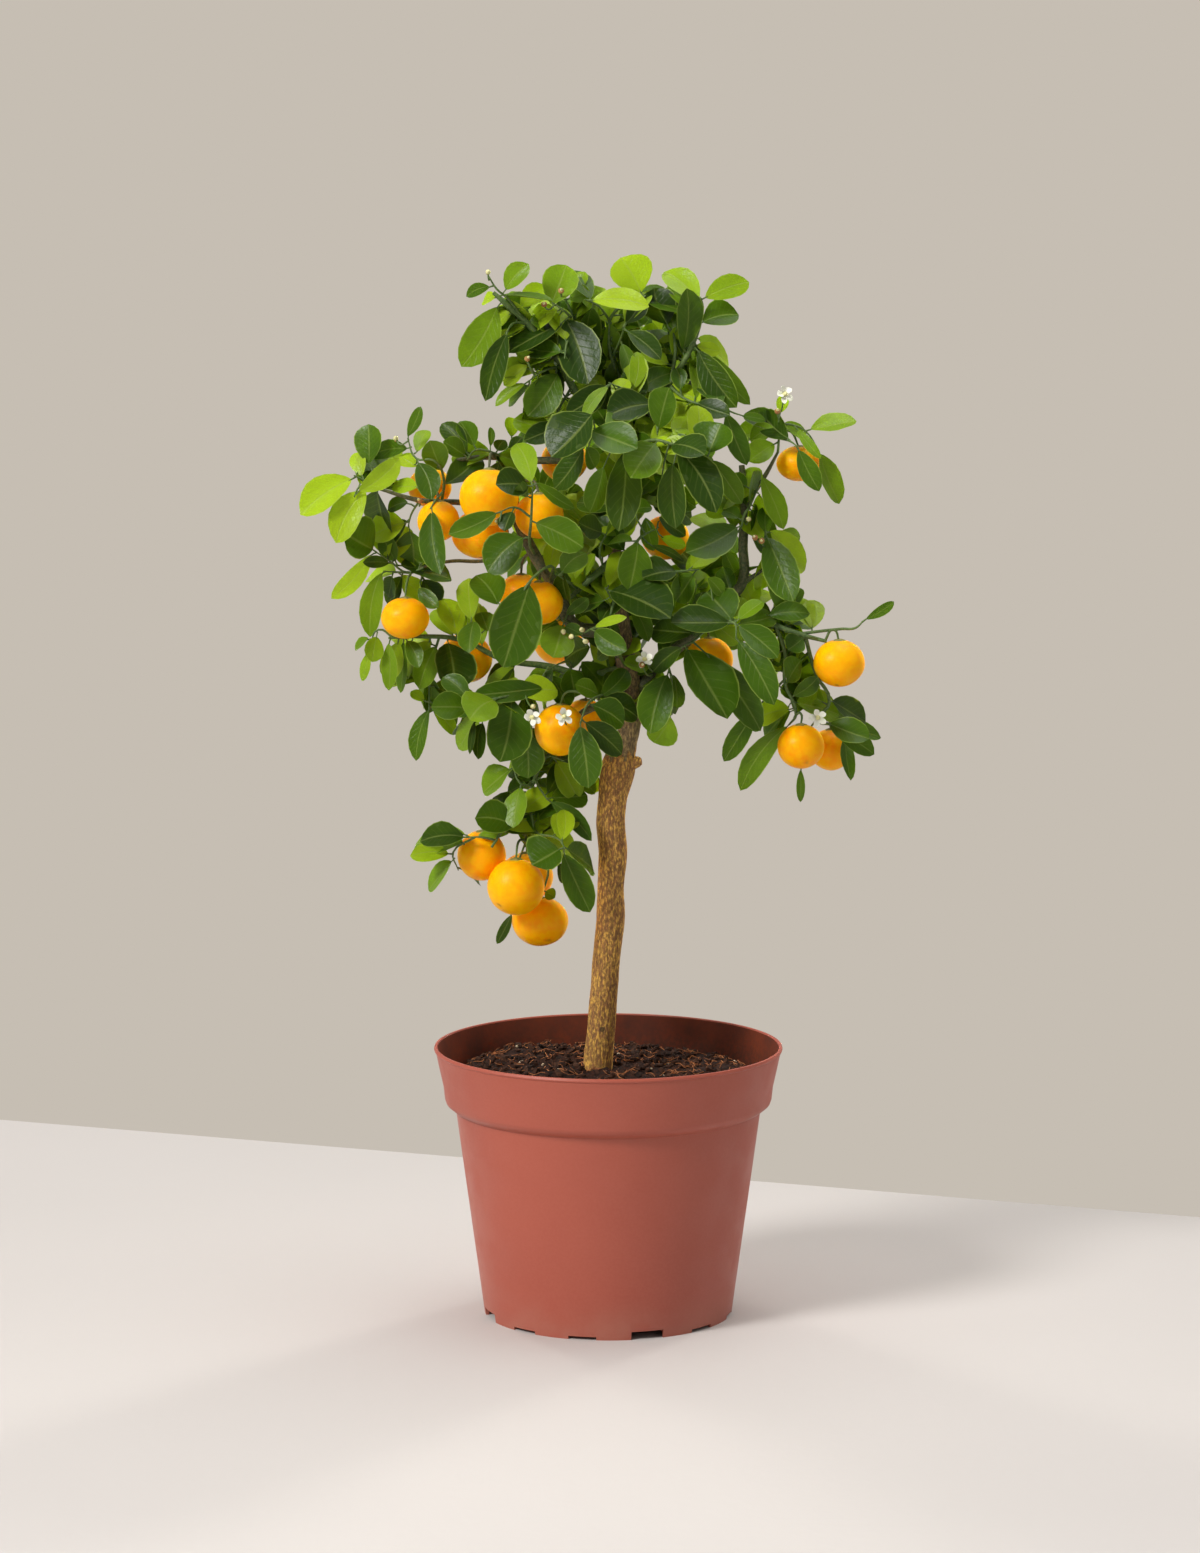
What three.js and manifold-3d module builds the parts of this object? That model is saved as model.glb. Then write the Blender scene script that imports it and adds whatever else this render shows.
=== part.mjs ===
// Potted calamondin: a small grafted citrus tree in a plastic nursery pot.
// Millimetres, +Z up, the middle of the pot's foot at the origin, the viewer on the -Y side.
import * as THREE from 'three';
import { mergeVertices } from 'three/addons/utils/BufferGeometryUtils.js';
import Module from 'manifold-3d';

// ---------------------------------------------------------------- driving sizes
const RIM_D = 210;            // outside of the rolled lip
const BASE_D = 150;           // outside of the foot ring
const POT_H = 163.3;
const WALL = 1.6;
const BAND_H = 38;            // height of the wide collar under the lip
const FLOOR_LIFT = 3;         // the floor's underside stands this far off the ground
const PAD_D = 44;             // flush pad in the middle of the floor
const NOTCHES = 12;
const SOIL_DROP = 17;         // soil below the lip
const TRUNK_D = 17;
const CROWN_W = 353;          // tip to tip
const TREE_TOP = 639;
const FRUIT_D = 30;           // middling fruit
const LEAF_WIDE = 1;          // multiplies every leaf's width
const LEAF_T = 1.0;
const GAP = 0.3;              // clearance wherever one piece meets another
const VIEW_D = 2800;          // the crown is laid out as seen from this far off
const VIEW_H = 709;
const FRONT_DEPTH = 1.7;      // how far the near half of the crown reaches out for its layout depth
const REAR_DEPTH = 0.85;

const SOIL_Z = POT_H - SOIL_DROP;
const SPREAD = CROWN_W / 353;
const RISE = (TREE_TOP - SOIL_Z) / (639 - 146.3);

const wasm = await Module();
wasm.setup();
const { Manifold, Mesh } = wasm;

// ---------------------------------------------------------------- materials
const paint = (name, color, roughness) => {
  const material = new THREE.MeshStandardMaterial({ color, roughness, metalness: 0 });
  material.name = name;
  return material;
};

// ---------------------------------------------------------------- shape helpers
const V = (x, y, z) => new THREE.Vector3(x, y, z);

// A layout point (x across, z up, y deep) put where it looks the same from the view point.
const at = (x, z, y = 0) => {
  const deep = y * (y < 0 ? FRONT_DEPTH : REAR_DEPTH);
  const k = (VIEW_D + deep) / VIEW_D;
  const rise = VIEW_H + (z - VIEW_H) * k - 146.3;
  return V(x * k * SPREAD, deep * SPREAD, SOIL_Z + rise * RISE);
};

const solidFrom = (geometry) => {
  const bare = new THREE.BufferGeometry();
  bare.setAttribute('position', geometry.getAttribute('position').clone());
  if (geometry.index) bare.setIndex(geometry.index.clone());
  const merged = mergeVertices(bare, 1e-4);
  return new Manifold(new Mesh({
    numProp: 3,
    vertProperties: Float32Array.from(merged.getAttribute('position').array),
    triVerts: Uint32Array.from(merged.index.array),
  }));
};

const geometryFrom = (solid) => {
  const { vertProperties, triVerts } = solid.getMesh();
  const geometry = new THREE.BufferGeometry();
  geometry.setAttribute('position', new THREE.BufferAttribute(Float32Array.from(vertProperties), 3));
  geometry.setIndex(new THREE.BufferAttribute(Uint32Array.from(triVerts), 1));
  geometry.computeVertexNormals();
  return geometry;
};

const biggest = (solid) => {
  const bodies = solid.decompose();
  bodies.sort((a, b) => b.volume() - a.volume());
  return bodies[0];
};

// Closed skin over rings of the same count: a fan at each end, quads between.
const skin = (rings, first, last) => {
  const n = rings[0].length;
  const position = [];
  const index = [];
  const put = (p) => position.push(p.x, p.y, p.z);
  rings.forEach((ring) => ring.forEach(put));
  const total = rings.length * n;
  put(first);
  put(last);
  for (let i = 0; i < n; i += 1) {
    const j = (i + 1) % n;
    index.push(total, j, i);
    for (let r = 0; r < rings.length - 1; r += 1) {
      const a = r * n;
      const b = a + n;
      index.push(a + i, a + j, b + j, a + i, b + j, b + i);
    }
    const top = (rings.length - 1) * n;
    index.push(total + 1, top + i, top + j);
  }
  const geometry = new THREE.BufferGeometry();
  geometry.setAttribute('position', new THREE.Float32BufferAttribute(position, 3));
  geometry.setIndex(index);
  const solid = solidFrom(geometry);
  if (solid.volume() > 0) return solid;
  for (let k = 0; k < index.length; k += 3) [index[k], index[k + 1]] = [index[k + 1], index[k]];
  geometry.setIndex(index);
  return solidFrom(geometry);
};

// Round stem through points, with a radius at each and a little swelling.
const stem = (points, radii, sides, grow = 0) => {
  const rings = [];
  let side = V(0, -1, 0);
  points.forEach((p, i) => {
    const before = points[Math.max(i - 1, 0)];
    const after = points[Math.min(i + 1, points.length - 1)];
    const along = after.clone().sub(before).normalize();
    side = side.clone().addScaledVector(along, -side.dot(along));
    if (side.length() < 0.2) side = V(1, 0, 0).addScaledVector(along, -along.x);
    side.normalize();
    const other = along.clone().cross(side);
    const ring = [];
    for (let k = 0; k < sides; k += 1) {
      const a = (2 * Math.PI * k) / sides;
      const r = radii[i] + grow;
      ring.push(p.clone().addScaledVector(side, r * Math.cos(a)).addScaledVector(other, r * Math.sin(a)));
    }
    rings.push(ring);
  });
  return skin(rings, points[0], points[points.length - 1]);
};

const taper = (points, r0, r1) => points.map((p, i) => r0 + ((r1 - r0) * i) / (points.length - 1));

const union = (solids) => solids.reduce((all, one) => all.add(one));

const boxed = (solid) => ({ solid, box: solid.boundingBox() });
const meets = (p, q) => [0, 1, 2].every((k) => p.box.min[k] < q.box.max[k] && q.box.min[k] < p.box.max[k]);

// Grown copies of everything placed so far, which later pieces keep clear of.
const placed = [];
const clash = (solid, others) => {
  const piece = boxed(solid);
  return others.filter((other) => meets(piece, other))
    .reduce((sum, other) => sum + solid.intersect(other.solid).volume(), 0);
};

// ---------------------------------------------------------------- pot
const makePot = () => {
  const rim = RIM_D / 2;
  const base = BASE_D / 2;
  const shoulder = POT_H - BAND_H;
  const low = rim - 13;
  const points = [
    [0, 0], [PAD_D / 2, 0], [PAD_D / 2 + 1, FLOOR_LIFT], [base - 2, FLOOR_LIFT], [base - 1.8, 0], [base, 0],
    [low, shoulder], [rim - 6.6, shoulder + 5], [rim - 5.6, shoulder + 14], [rim - 1, POT_H - 2.4],
    [rim, POT_H - 2], [rim, POT_H], [rim - WALL - 0.4, POT_H],
    [rim - 5.6 - WALL, shoulder + 14], [rim - 6.8 - WALL, shoulder + 6], [low - WALL, shoulder + 1],
    [base - WALL, FLOOR_LIFT + WALL], [PAD_D / 2 - 0.6, FLOOR_LIFT + WALL], [PAD_D / 2 - 1.6, WALL], [0, WALL],
  ];
  const profile = points.map(([r, z]) => new THREE.Vector2(r, z));
  const lathe = new THREE.LatheGeometry([...profile, profile[0]], 40);
  lathe.rotateX(Math.PI / 2);
  let pot = solidFrom(lathe);
  if (pot.volume() < 0) throw new Error('the pot is inside out');
  for (let i = 0; i < NOTCHES; i += 1) {
    const tall = i % 3 === 0;
    const box = new THREE.BoxGeometry(tall ? 20 : 17, tall ? 16 : 8, (tall ? 5 : 2) + 4);
    box.translate(0, -base - 1, ((tall ? 5 : 2) - 4) / 2);
    box.rotateZ(((18 + (360 / NOTCHES) * i) * Math.PI) / 180);
    pot = pot.subtract(solidFrom(box));
  }
  return pot;
};

const wallInside = (z) => {
  const shoulder = POT_H - BAND_H;
  const low = RIM_D / 2 - 13 - WALL;
  const base = BASE_D / 2 - WALL;
  if (z <= shoulder + 1) return base + ((low - base) * (z - FLOOR_LIFT - WALL)) / (shoulder + 1 - FLOOR_LIFT - WALL);
  return low + ((RIM_D / 2 - 6.8 - WALL - low) * Math.min((z - shoulder - 1) / 5, 1));
};

// ---------------------------------------------------------------- potting soil
const makeSoil = () => {
  const floor = FLOOR_LIFT + WALL + GAP;
  const edge = SOIL_Z - 7;
  const turns = 26;
  const ringAt = (r, z, rough) => {
    const ring = [];
    for (let k = 0; k < turns; k += 1) {
      const a = (2 * Math.PI * k) / turns;
      const lift = rough * (Math.sin(5 * a + r * 0.3) + 0.7 * Math.sin(11 * a - r * 0.7));
      ring.push(V((r + lift) * Math.cos(a), (r + lift) * Math.sin(a), z + lift));
    }
    return ring;
  };
  const shoulder = POT_H - BAND_H;
  const rings = [
    ringAt(wallInside(floor) - GAP - 0.3, floor, 0),
    ringAt(wallInside(shoulder) - GAP - 0.5, shoulder, 0),
    ringAt(wallInside(edge) - 2.5, edge - 3, 0.5),
    ringAt(wallInside(edge) - 8, SOIL_Z - 3, 0.8),
    ringAt(wallInside(edge) * 0.72, SOIL_Z + 0.5, 0.9),
    ringAt(wallInside(edge) * 0.42, SOIL_Z + 2.5, 0.9),
  ];
  return skin(rings, V(0, 0, floor), V(-14, 10, SOIL_Z + 3.5));
};

// ---------------------------------------------------------------- trunk and leader
// Each row: across, up, deep, width.
const TRUNK_LINE = [
  [-9, 112, 0, 15], [-6.6, 147, 0, 17.6], [-3.4, 185, 0, 16.6], [-0.8, 220, 0, 16.5], [1.4, 240, 0, 17],
  [1.4, 260, 0, 16], [2.7, 280, 0, 16.9], [1.5, 298, 0, 17.4], [2.4, 312, 0, 17], [5.4, 330, 0, 20.5],
  [7.3, 337, 0, 19.6], [9, 343, 0, 15.5], [11, 350, 0, 13.4], [14.4, 365, 0, 11.6], [12.5, 385, 0, 13],
  [9.5, 402, 0, 11.5], [8.5, 418, 1, 9], [4, 445, 2, 8], [4, 465, 2, 7.6], [6, 485, 2, 7],
  [13, 512, 3, 6.6], [20, 538, 4, 6.4], [19, 560, 4, 5.6], [17.4, 575, 4, 4.6],
];
const KNOT_LINE = [[12, 334, -1, 9], [17, 335.5, -2, 7], [19.6, 336, -2.4, 4.4]];

const makeTrunk = (grow = 0) => {
  const line = (rows, sides) => stem(
    rows.map(([x, z, y]) => at(x, z, y)),
    rows.map((row) => (row[3] / 2) * (TRUNK_D / 17)),
    sides,
    grow,
  );
  return line(TRUNK_LINE, 10).add(line(KNOT_LINE, 6));
};

// ---------------------------------------------------------------- bare limbs
// name, then stems: [first width, last width, [across, up, deep], ...]
const LIMBS = [
  ['limb_left', [
    [9, 6.2, [10, 398, 0], [-4, 413, -3], [-20, 417, -5], [-30, 438, -6], [-44, 460, -6], [-56, 490, 0], [-51.5, 517, 7]],
    [4.6, 3.4, [-28, 516, 9], [-50, 516, 7], [-70, 518, 4], [-90, 516, 0]],
    [4, 2.6, [-57, 488, 0], [-89, 491, -2], [-111, 492, -4], [-136, 499, -8]],
    [2.8, 2, [-49, 468, -5], [-60, 459, 14], [-76, 456, 24], [-93, 456, 16], [-112, 452, 2]],
    [2, 1.8, [-54, 502, 3], [-45, 504, -6], 'fruit_upper_mid'],
    [2, 1.8, [-68, 518, 4], [-70, 519, -12], 'fruit_upper_left'],
    [2, 1.8, [-86, 490.8, -2], [-79, 493, -2], 'fruit_upper_left_low'],
    [2, 1.8, [-106, 491.6, -3], [-102, 497, -8], 'fruit_left_back_b'],
    [2, 1.8, [-36, 446, -6], [-40, 451, -12], 'fruit_mid'],
    [2, 1.8, [-45, 462, -5], [-51, 456, 6], 'fruit_mid_back'],
  ]],
  ['limb_hanging', [
    [5.6, 3.2, [10, 372, 0], [-14, 366, 8], [-32, 348, 8]],
    [2, 1.8, [-4, 368, 4], [-10, 382, 24], 'fruit_by_trunk_back'],
  ]],
  ['limb_right', [
    [8, 5, [14, 376, 0], [22, 383, 0], [39, 402, 0], [51, 412, -2], [71, 433, -4], [79.5, 443, -4], [80, 466, -3],
      [81, 491, -2], [79, 513, 0]],
    [3.6, 2.6, [79, 442, -4], [92, 451, -6]],
    [3.4, 2.2, [81, 489, -2], [93, 507, -4], [100.5, 521, -6]],
    [2, 1.8, [51, 412, -2], [58, 417, 4], 'fruit_right_mid'],
  ]],
];

// ---------------------------------------------------------------- fruits
// name, across, up, deep, width, height
const FRUITS = [
  ['fruit_left_end', -121, 422, -12, 28.6, 24.6],
  ['fruit_upper_left', -71, 494, -20, 35, 34],
  ['fruit_upper_left_low', -76, 472, -2, 34, 29],
  ['fruit_upper_mid', -41, 483, -14, 29, 27],
  ['fruit_mid_back', -52, 436, 12, 27, 25],
  ['fruit_mid', -41, 431, -16, 28, 26],
  ['fruit_mid_left', -85, 398, 16, 32, 30],
  ['fruit_by_trunk', -29, 355, -18, 30, 31],
  ['fruit_by_trunk_back', -14, 361, 34, 26, 25],
  ['fruit_low_a', -76, 279, -4, 29, 30],
  ['fruit_low_b', -55.5, 260, -15, 34, 34],
  ['fruit_low_c', -49, 266, 16, 32, 30],
  ['fruit_low_d', -41, 239, -1, 34, 29.5],
  ['fruit_right_low_a', 115, 345, -12, 28, 26.6],
  ['fruit_right_low_b', 133, 343, 8, 26, 25],
  ['fruit_right_arm', 137.5, 395, -14, 30.5, 28],
  ['fruit_right_top', 113, 514, 2, 27, 21],
  ['fruit_right_mid', 60, 397, 6, 29, 27],
  ['fruit_left_back_a', -106, 500, 14, 26, 24],
  ['fruit_left_back_b', -101, 480, -10, 25, 24],
  ['fruit_centre_back', -26, 516, 32, 28, 26],
  ['fruit_rear_high', 34, 470, 84, 29, 27],
  ['fruit_rear_low', -30, 408, 86, 30, 28],
];
const fruitScale = FRUIT_D / 30;
const makeFruit = ([, x, z, y, w, h], grow = 0) => {
  const k = fruitScale;
  const sphere = new THREE.SphereGeometry(1, 12, 6);
  sphere.rotateX(Math.PI / 2);
  sphere.scale((w / 2) * k + grow, (w / 2) * k + grow, (h / 2) * k + grow);
  const middle = at(x, z, y);
  sphere.translate(middle.x, middle.y, middle.z);
  return solidFrom(sphere);
};

// ---------------------------------------------------------------- leafy branches and shoots
// name, stems as in the limbs, leaves: [base across, base up, tip across, tip up, width, tip's depth, tone]
const SHOOTS = [
  ['branch_top_left', [
    [6, 4.2, [7, 522, 2], [-20, 557, 2], [-28, 573, 0], [-38.5, 586, -2], [-50, 599, -4], [-59, 607, -6], [-68, 615, -6]],
    [2.8, 2, [-24, 563, 1], [-21, 600, 4], [-28, 615, 4]],
    [2, 1.4, [-50, 599, -4], [-60, 612, -12], [-66, 617, -14], [-71, 625, -14]],
    [2, 1.4, [-46, 596, -3], [-56, 597, -8], [-60, 592, -12]],
    [2, 1.4, [-21, 599, 4], [-26, 604, -8], [-33, 609, -10]],
    [2, 1.2, [-22, 588, 3], [-25, 584, -10], [-26, 576, -14]],
    [2, 1.2, [-27, 572, 0], [-40, 568, -8], [-48, 562, -6]],
    [2, 1.4, [-22, 559, 2], [-30, 545, -4], [-35, 532, -4]],
    [2, 1.8, [-9, 541, 2], [-20, 540, 22], 'fruit_centre_back'],
  ], [
    [-61, 616, -47, 634, 12, -2, 2], [-66, 613, -33, 614, 6, -14, 1], [-69, 618, -84, 614, 7, -3, 1],
    [-66, 606, -87, 575, 20, -8, 2], [-57, 596, -76, 576, 10, 4, 3], [-60, 592, -73, 555, 14, -12, 0],
    [-64, 613, -74, 611, 7, 6, 3], [-25, 599, -12, 565, 25, -14, 0], [-27, 597, -60, 583, 15, -8, 0],
    [-27, 575, -55, 582, 7, -6, 2], [-34, 608, -25, 634, 20, 6, 2], [-20, 613, -14, 629, 9, 6, 2],
    [-24, 611, -11, 617, 9, -6, 2], [-30, 567, -48, 545, 20, -6, 1], [-46, 580, -60, 564, 8, 4, 0],
    [-48, 572, -62, 562, 9, 10, 3], [-48, 562, -67, 550, 6, 0, 2], [-47, 560, -59, 551, 8, 10, 1],
    [-35, 531, -56, 543, 14, 4, 2], [-28, 536, -50, 530, 12, -8, 0],
  ]],
  ['branch_top_right', [
    [5, 3, [19, 536, 4], [30, 548, 0], [37, 562, -2], [49.5, 584, -4], [55, 606, -4], [54, 612, -7]],
    [3, 2.2, [37, 562, -2], [39, 588, 2], [33, 598, 8]],
    [3.2, 2.2, [27, 545, 1.5], [19, 552, 12], [8, 563, 11], [0, 593, 7], [4, 604, 6], [12, 608, 4], [22, 613, 4]],
    [2, 1.2, [1, 598, 6], [-6, 607, -4], [-14, 611, -8]],
    [2, 1.2, [3, 578, 8], [8, 590, -4], [9, 595, -8]],
    [2.6, 1.4, [36, 560, -2], [48, 551, -12], [70, 546, -16]],
  ], [
    [22, 613, 7, 638, 24, 4, 3], [-14, 611, 24, 610, 12, -6, 3], [9, 595, 31, 578, 11, -6, 0],
    [4, 601, 18, 603, 9, 6, 1], [-2, 592, -12, 603, 8, 6, 1], [6, 588, 14, 566, 9, -4, 1],
    [-1, 584, -9, 570, 9, 8, 0], [35, 593, 27, 620, 21, 6, 0], [34, 598, 38, 621, 12, 10, 2],
    [44, 581, 46, 622, 15, -10, 1], [55, 611, 83, 624, 14, 4, 2], [55, 596, 77, 604, 15, 2, 1],
    [53, 581, 76, 551, 17, -8, 0], [55, 582, 84, 553, 11, 8, 1], [52, 584, 66, 582, 8, 4, 3],
    [46, 574, 64, 558, 15, 14, 2], [50, 550, 72, 545, 11, -8, 0], [70, 545, 82, 516, 12, -4, 1],
    [37, 549, 57, 539, 10, 6, 0], [79, 542, 93, 541, 5, 4, 1], [44, 556, 40, 572, 9, 4, 1],
  ]],
  ['shoot_leader_top', [
    [2.6, 1.4, [20, 546, 4], [28, 540, -18], [29, 531, -26]],
    [2.2, 1.4, [25, 542, -10], [12, 556, -12], [0, 562, -14]],
  ], [
    [29, 531, 36, 562, 16, -6, 1], [26, 549, -1, 545, 17, -12, 0], [0, 561, -25, 546, 15, -6, 0],
    [1, 562, -15, 543, 7, -14, 2], [3, 553, 12, 565, 10, 2, 3], [14, 557, 17, 583, 10, 8, 2],
  ]],
  ['shoot_centre', [
    [2.8, 1.6, [14, 517, 3], [18, 524, -22], [28, 528, -34], [39, 525, -36], [60, 517, -34]],
    [2.2, 1.4, [17, 522, -16], [0, 530, -30], [-9, 535, -38]],
  ], [
    [29, 527, 13, 508, 21, -10, 1], [10, 523, 6, 478, 20, -6, 0], [-10, 533, 17, 526, 17, -12, 1],
    [-10, 543, -34, 521, 23, -6, 0], [-3, 512, -11, 488, 13, 12, 1], [-15, 523, -32, 502, 14, 10, 0],
    [-13, 524, -8, 513, 9, 10, 1], [39, 524, 64, 489, 20, -10, 0], [38, 514, 40, 479, 16, 0, 0],
    [31, 508, 38, 482, 7, 6, 3], [36, 526, 57, 522, 13, -14, 0], [60, 517, 67, 540, 22, 2, 1],
    [61, 516, 79, 493, 12, 2, 1], [54, 528, 40, 538, 12, 14, 2],
  ]],
  ['shoot_right_outer', [
    [2.2, 1.4, [81, 485, -2], [84, 489, -10], [90, 503, -12]],
    [2, 1.4, [83.5, 488, -9], [80, 482, -14], [79, 477, -14], [72, 470, -2], [67, 463, 6]],
  ], [
    [86, 488, 86, 512, 13, -6, 1], [91, 506, 104, 478, 12, -4, 2], [90, 496, 92, 475, 10, 10, 3],
    [79, 477, 46, 465, 18, -14, 1], [79, 480, 68, 487, 8, 6, 1], [66, 462, 46, 452, 11, 6, 3],
    [70, 463, 76, 450, 9, 2, 1], [82, 500, 70, 508, 10, 12, 1],
  ]],
  ['shoot_right_drop', [
    [2.2, 1.4, [92, 451, -6], [94, 466, -12], [93, 474, -14]],
  ], [
    [93, 474, 110, 436, 20, -12, 1], [92, 469, 107, 427, 15, 4, 1], [96, 474, 117, 454, 15, 10, 3],
  ]],
  ['shoot_right_top', [
    [2, 1.4, [100.4, 520.6, -6], [101, 530, -6], [101, 545, -6]],
    [1.8, 1.2, [101, 538, -6], [112, 536, -4], [117, 533, -4], [125, 521, -6]],
    [1.8, 1.2, [101, 529, -6], [108, 527, -14], [112, 524, -19]],
    [2, 1.8, [101, 530, -6], [108, 533, 0], 'fruit_right_top'],
  ], [
    [117, 534, 147, 542, 12, 2, 2], [110, 537, 126, 519, 6, -6, 2], [125, 520, 137, 493, 12, 2, 2],
    [112, 524, 125, 500, 11, -4, 1], [100, 536, 84, 529, 11, 4, 2], [99, 527, 83, 517, 13, -4, 2],
    [101, 538, 118, 531, 9, 8, 2], [100, 541, 104, 556, 7, 0, 3],
  ]],
  ['shoot_right_low', [
    [2.4, 1.4, [50, 411, -2], [62, 416, -20], [75, 419, -28], [76, 409, -30]],
    [2.2, 1.4, [56, 413.5, -11], [50, 408, -20], [44, 405, -22]],
    [1.8, 1.4, [50, 408, -20], [60, 399, -24]],
  ], [
    [74, 419, 37, 423, 15, -8, 0], [73, 421, 58, 440, 22, 8, 1], [76, 419, 92, 434, 8, 4, 2],
    [59, 446, 68, 437, 8, 10, 1], [76, 419, 101, 401, 14, -6, 1], [75, 409, 99, 374, 17, -10, 1],
    [45, 405, 71, 366, 24, -12, 1], [61, 397, 91, 359, 18, 2, 1],
  ]],
  ['shoot_right_inner', [
    [2.2, 1.4, [31, 392, 0], [36, 392, -12], [38, 378, -10], [38, 364, -4]],
  ], [
    [37, 391, 25, 356, 20, -6, 1], [37, 363, 27, 349, 18, 4, 2], [39, 388, 41, 370, 10, 6, 1],
    [24, 393, 9, 397, 8, 4, 2],
  ]],
  ['branch_right_arm', [
    [4.6, 3.6, [73, 433, -4], [83, 426, -6], [99, 418, -9], [113, 412.6, -12], [130, 408, -14]],
    [2.4, 1.4, [114, 412.6, -12], [139, 415.5, -14], [147, 416, -15], [152, 420.4, -15]],
    [3, 2, [100, 417, -9], [105.5, 400, -10], [105, 384, -10], [112, 364, -10], [108, 358, -8]],
    [3, 2.2, [117, 412, -12], [124, 388, -12], [132, 372, -10], [126, 361, -10], [132, 358, -16]],
    [1.8, 1.2, [91, 422, -8], [94, 424, -12]],
    [1.6, 1.2, [126, 409.6, -13], [118, 411, -17]],
    [2, 1.2, [105, 385, -10], [95, 375, -4], [88, 367, 0]],
    [2, 1.8, [129, 408.3, -14], [134, 415, -14], 'fruit_right_arm'],
    [1.6, 1.2, [126, 362, -10], [120, 354, 2], [115.5, 332, 2]],
    [2, 1.8, [112, 364, -10], [114.6, 365, -11], 'fruit_right_low_a'],
    [2, 1.8, [127, 362, -10], [131, 364, 4], 'fruit_right_low_b'],
  ], [
    [93, 423, 120, 427, 11, -4, 1], [88, 419, 106, 413, 7, 6, 2], [118, 411, 107, 404, 12, -3, 1],
    [106, 382, 115, 399, 11, -8, 1], [110, 374, 125, 389, 10, -6, 1], [88, 366, 69, 339, 12, 0, 1],
    [108, 358, 79, 323, 14, 6, 1], [152, 420, 170, 434, 6, 2, 1], [122, 396, 110, 392, 7, 8, 1],
    [129, 359, 156, 352, 13, -6, 1], [131, 357, 159, 343, 12, 2, 1], [132, 360, 163, 353, 9, 8, 1],
    [115, 331, 115, 313, 5, 0, 1], [142, 351, 145, 327, 8, 8, 1], [123, 366, 110, 374, 9, 10, 1],
  ]],
  ['shoot_mid_right', [
    [2.6, 1.4, [4, 452, 2], [12, 462, -14], [19, 471, -22]],
    [2.2, 1.4, [8, 457, -6], [24, 450, -14], [43, 450, -20], [54, 451, -18]],
    [2, 1.2, [14, 464.5, -16], [22, 472, -2], [30, 476, 6]],
  ], [
    [19, 471, 12, 441, 20, -6, 1], [22, 482, 27, 464, 10, 4, 1], [30, 482, 46, 473, 9, 4, 0],
    [31, 470, 46, 467, 7, 8, 3], [25, 465, 45, 458, 5, -4, 0], [14, 486, 26, 489, 8, 4, 1],
    [43, 450, 20, 448, 14, -6, 0], [54, 450, 40, 434, 14, 4, 1],
  ]],
  ['shoot_mid_front', [
    [2.6, 1.4, [8, 428, 1], [2, 434, -18], [-2, 440, -26]],
    [2.2, 1.2, [3.4, 432.6, -14], [-2, 418, -20], [-12, 415, -24]],
  ], [
    [-2, 440, 37, 426, 22, -14, 0], [14, 430, 24, 410, 10, 10, 1], [-12, 415, 11, 405, 14, -10, 1],
    [-12, 416, 11, 425, 5, -8, 3], [-3, 432, -17, 430, 9, 8, 1], [-16, 412, -26, 418, 7, 2, 1],
  ]],
  ['branch_cross', [
    [6, 3.6, [3, 457, 2], [-11, 445, -10], [-24, 433, -6]],
    [2, 1.2, [-18, 439, -8], [-26, 445, -20], [-31, 448, -24]],
    [2, 1.2, [-3, 452, -4], [-5, 464, -11], [-1, 473, -12]],
  ], [
    [-31, 448, -13, 463, 14, -6, 1], [-14, 447, -8, 462, 6, -4, 2], [-1, 473, -18, 481, 12, -6, 0],
    [-5, 468, -16, 463, 10, 12, 3], [-27, 449, -24, 434, 10, 4, 0], [-6, 452, 2, 440, 8, 8, 3],
  ]],
  ['shoot_left_inner', [
    [2.6, 1.6, [-44, 460, -6], [-47, 468, -24], [-46, 481, -33], [-45, 502, -32]],
    [1.8, 1.2, [-46, 482, -33], [-56, 488, -36], [-65, 485, -38]],
  ], [
    [-46, 502, -67, 504, 14, -10, 0], [-46, 480, -15, 467, 18, -4, 1], [-56, 488, -62, 475, 9, -4, 0],
    [-65, 485, -95, 475, 12, -4, 1], [-51, 470, -72, 452, 21, -2, 1], [-43, 503, -20, 490, 7, 6, 1],
    [-48, 494, -53, 504, 7, -4, 1],
  ]],
  ['shoot_left_front', [
    [2.4, 1.4, [-35, 443, -6], [-34, 453, -22], [-45, 446, -32], [-56, 432, -31], [-64, 430, -26]],
  ], [
    [-45, 444, -63, 397, 29, -6, 1], [-66, 430, -79, 450, 18, 8, 1],
  ]],
  ['shoot_left_fork', [
    [2, 1.4, [-21, 418, -5], [-27, 421, -14]],
  ], [
    [-27, 421, -33, 400, 20, -2, 2], [-28, 409, -46, 408, 5, -4, 3], [-25, 424, -12, 436, 8, -6, 1],
  ]],
  ['shoot_left_top', [
    [2, 1.2, [-62, 517, 5], [-70, 521, -3], [-79, 522, -4], [-84, 516, -7]],
    [1.8, 1.2, [-66, 519, 1], [-61, 522, 9], [-56, 528, 7]],
  ], [
    [-83, 515, -98, 529, 10, -4, 1], [-78, 523, -88, 541, 11, 4, 1], [-70, 522, -70, 537, 4, 0, 1],
    [-67, 520, -61, 529, 8, -4, 0], [-59, 520, -51, 531, 7, -6, 0], [-56, 528, -59, 543, 8, 4, 3],
    [-58, 520, -44, 524, 8, 10, 1],
  ]],
  ['shoot_left_arm', [
    [2.2, 1.4, [-99, 491, -3], [-98, 507, -10], [-104, 516, -14], [-114, 517, -13], [-119, 529, -11]],
    [1.6, 1.2, [-98.6, 497, -6], [-104, 490, -14], [-106, 487, -15]],
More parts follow.
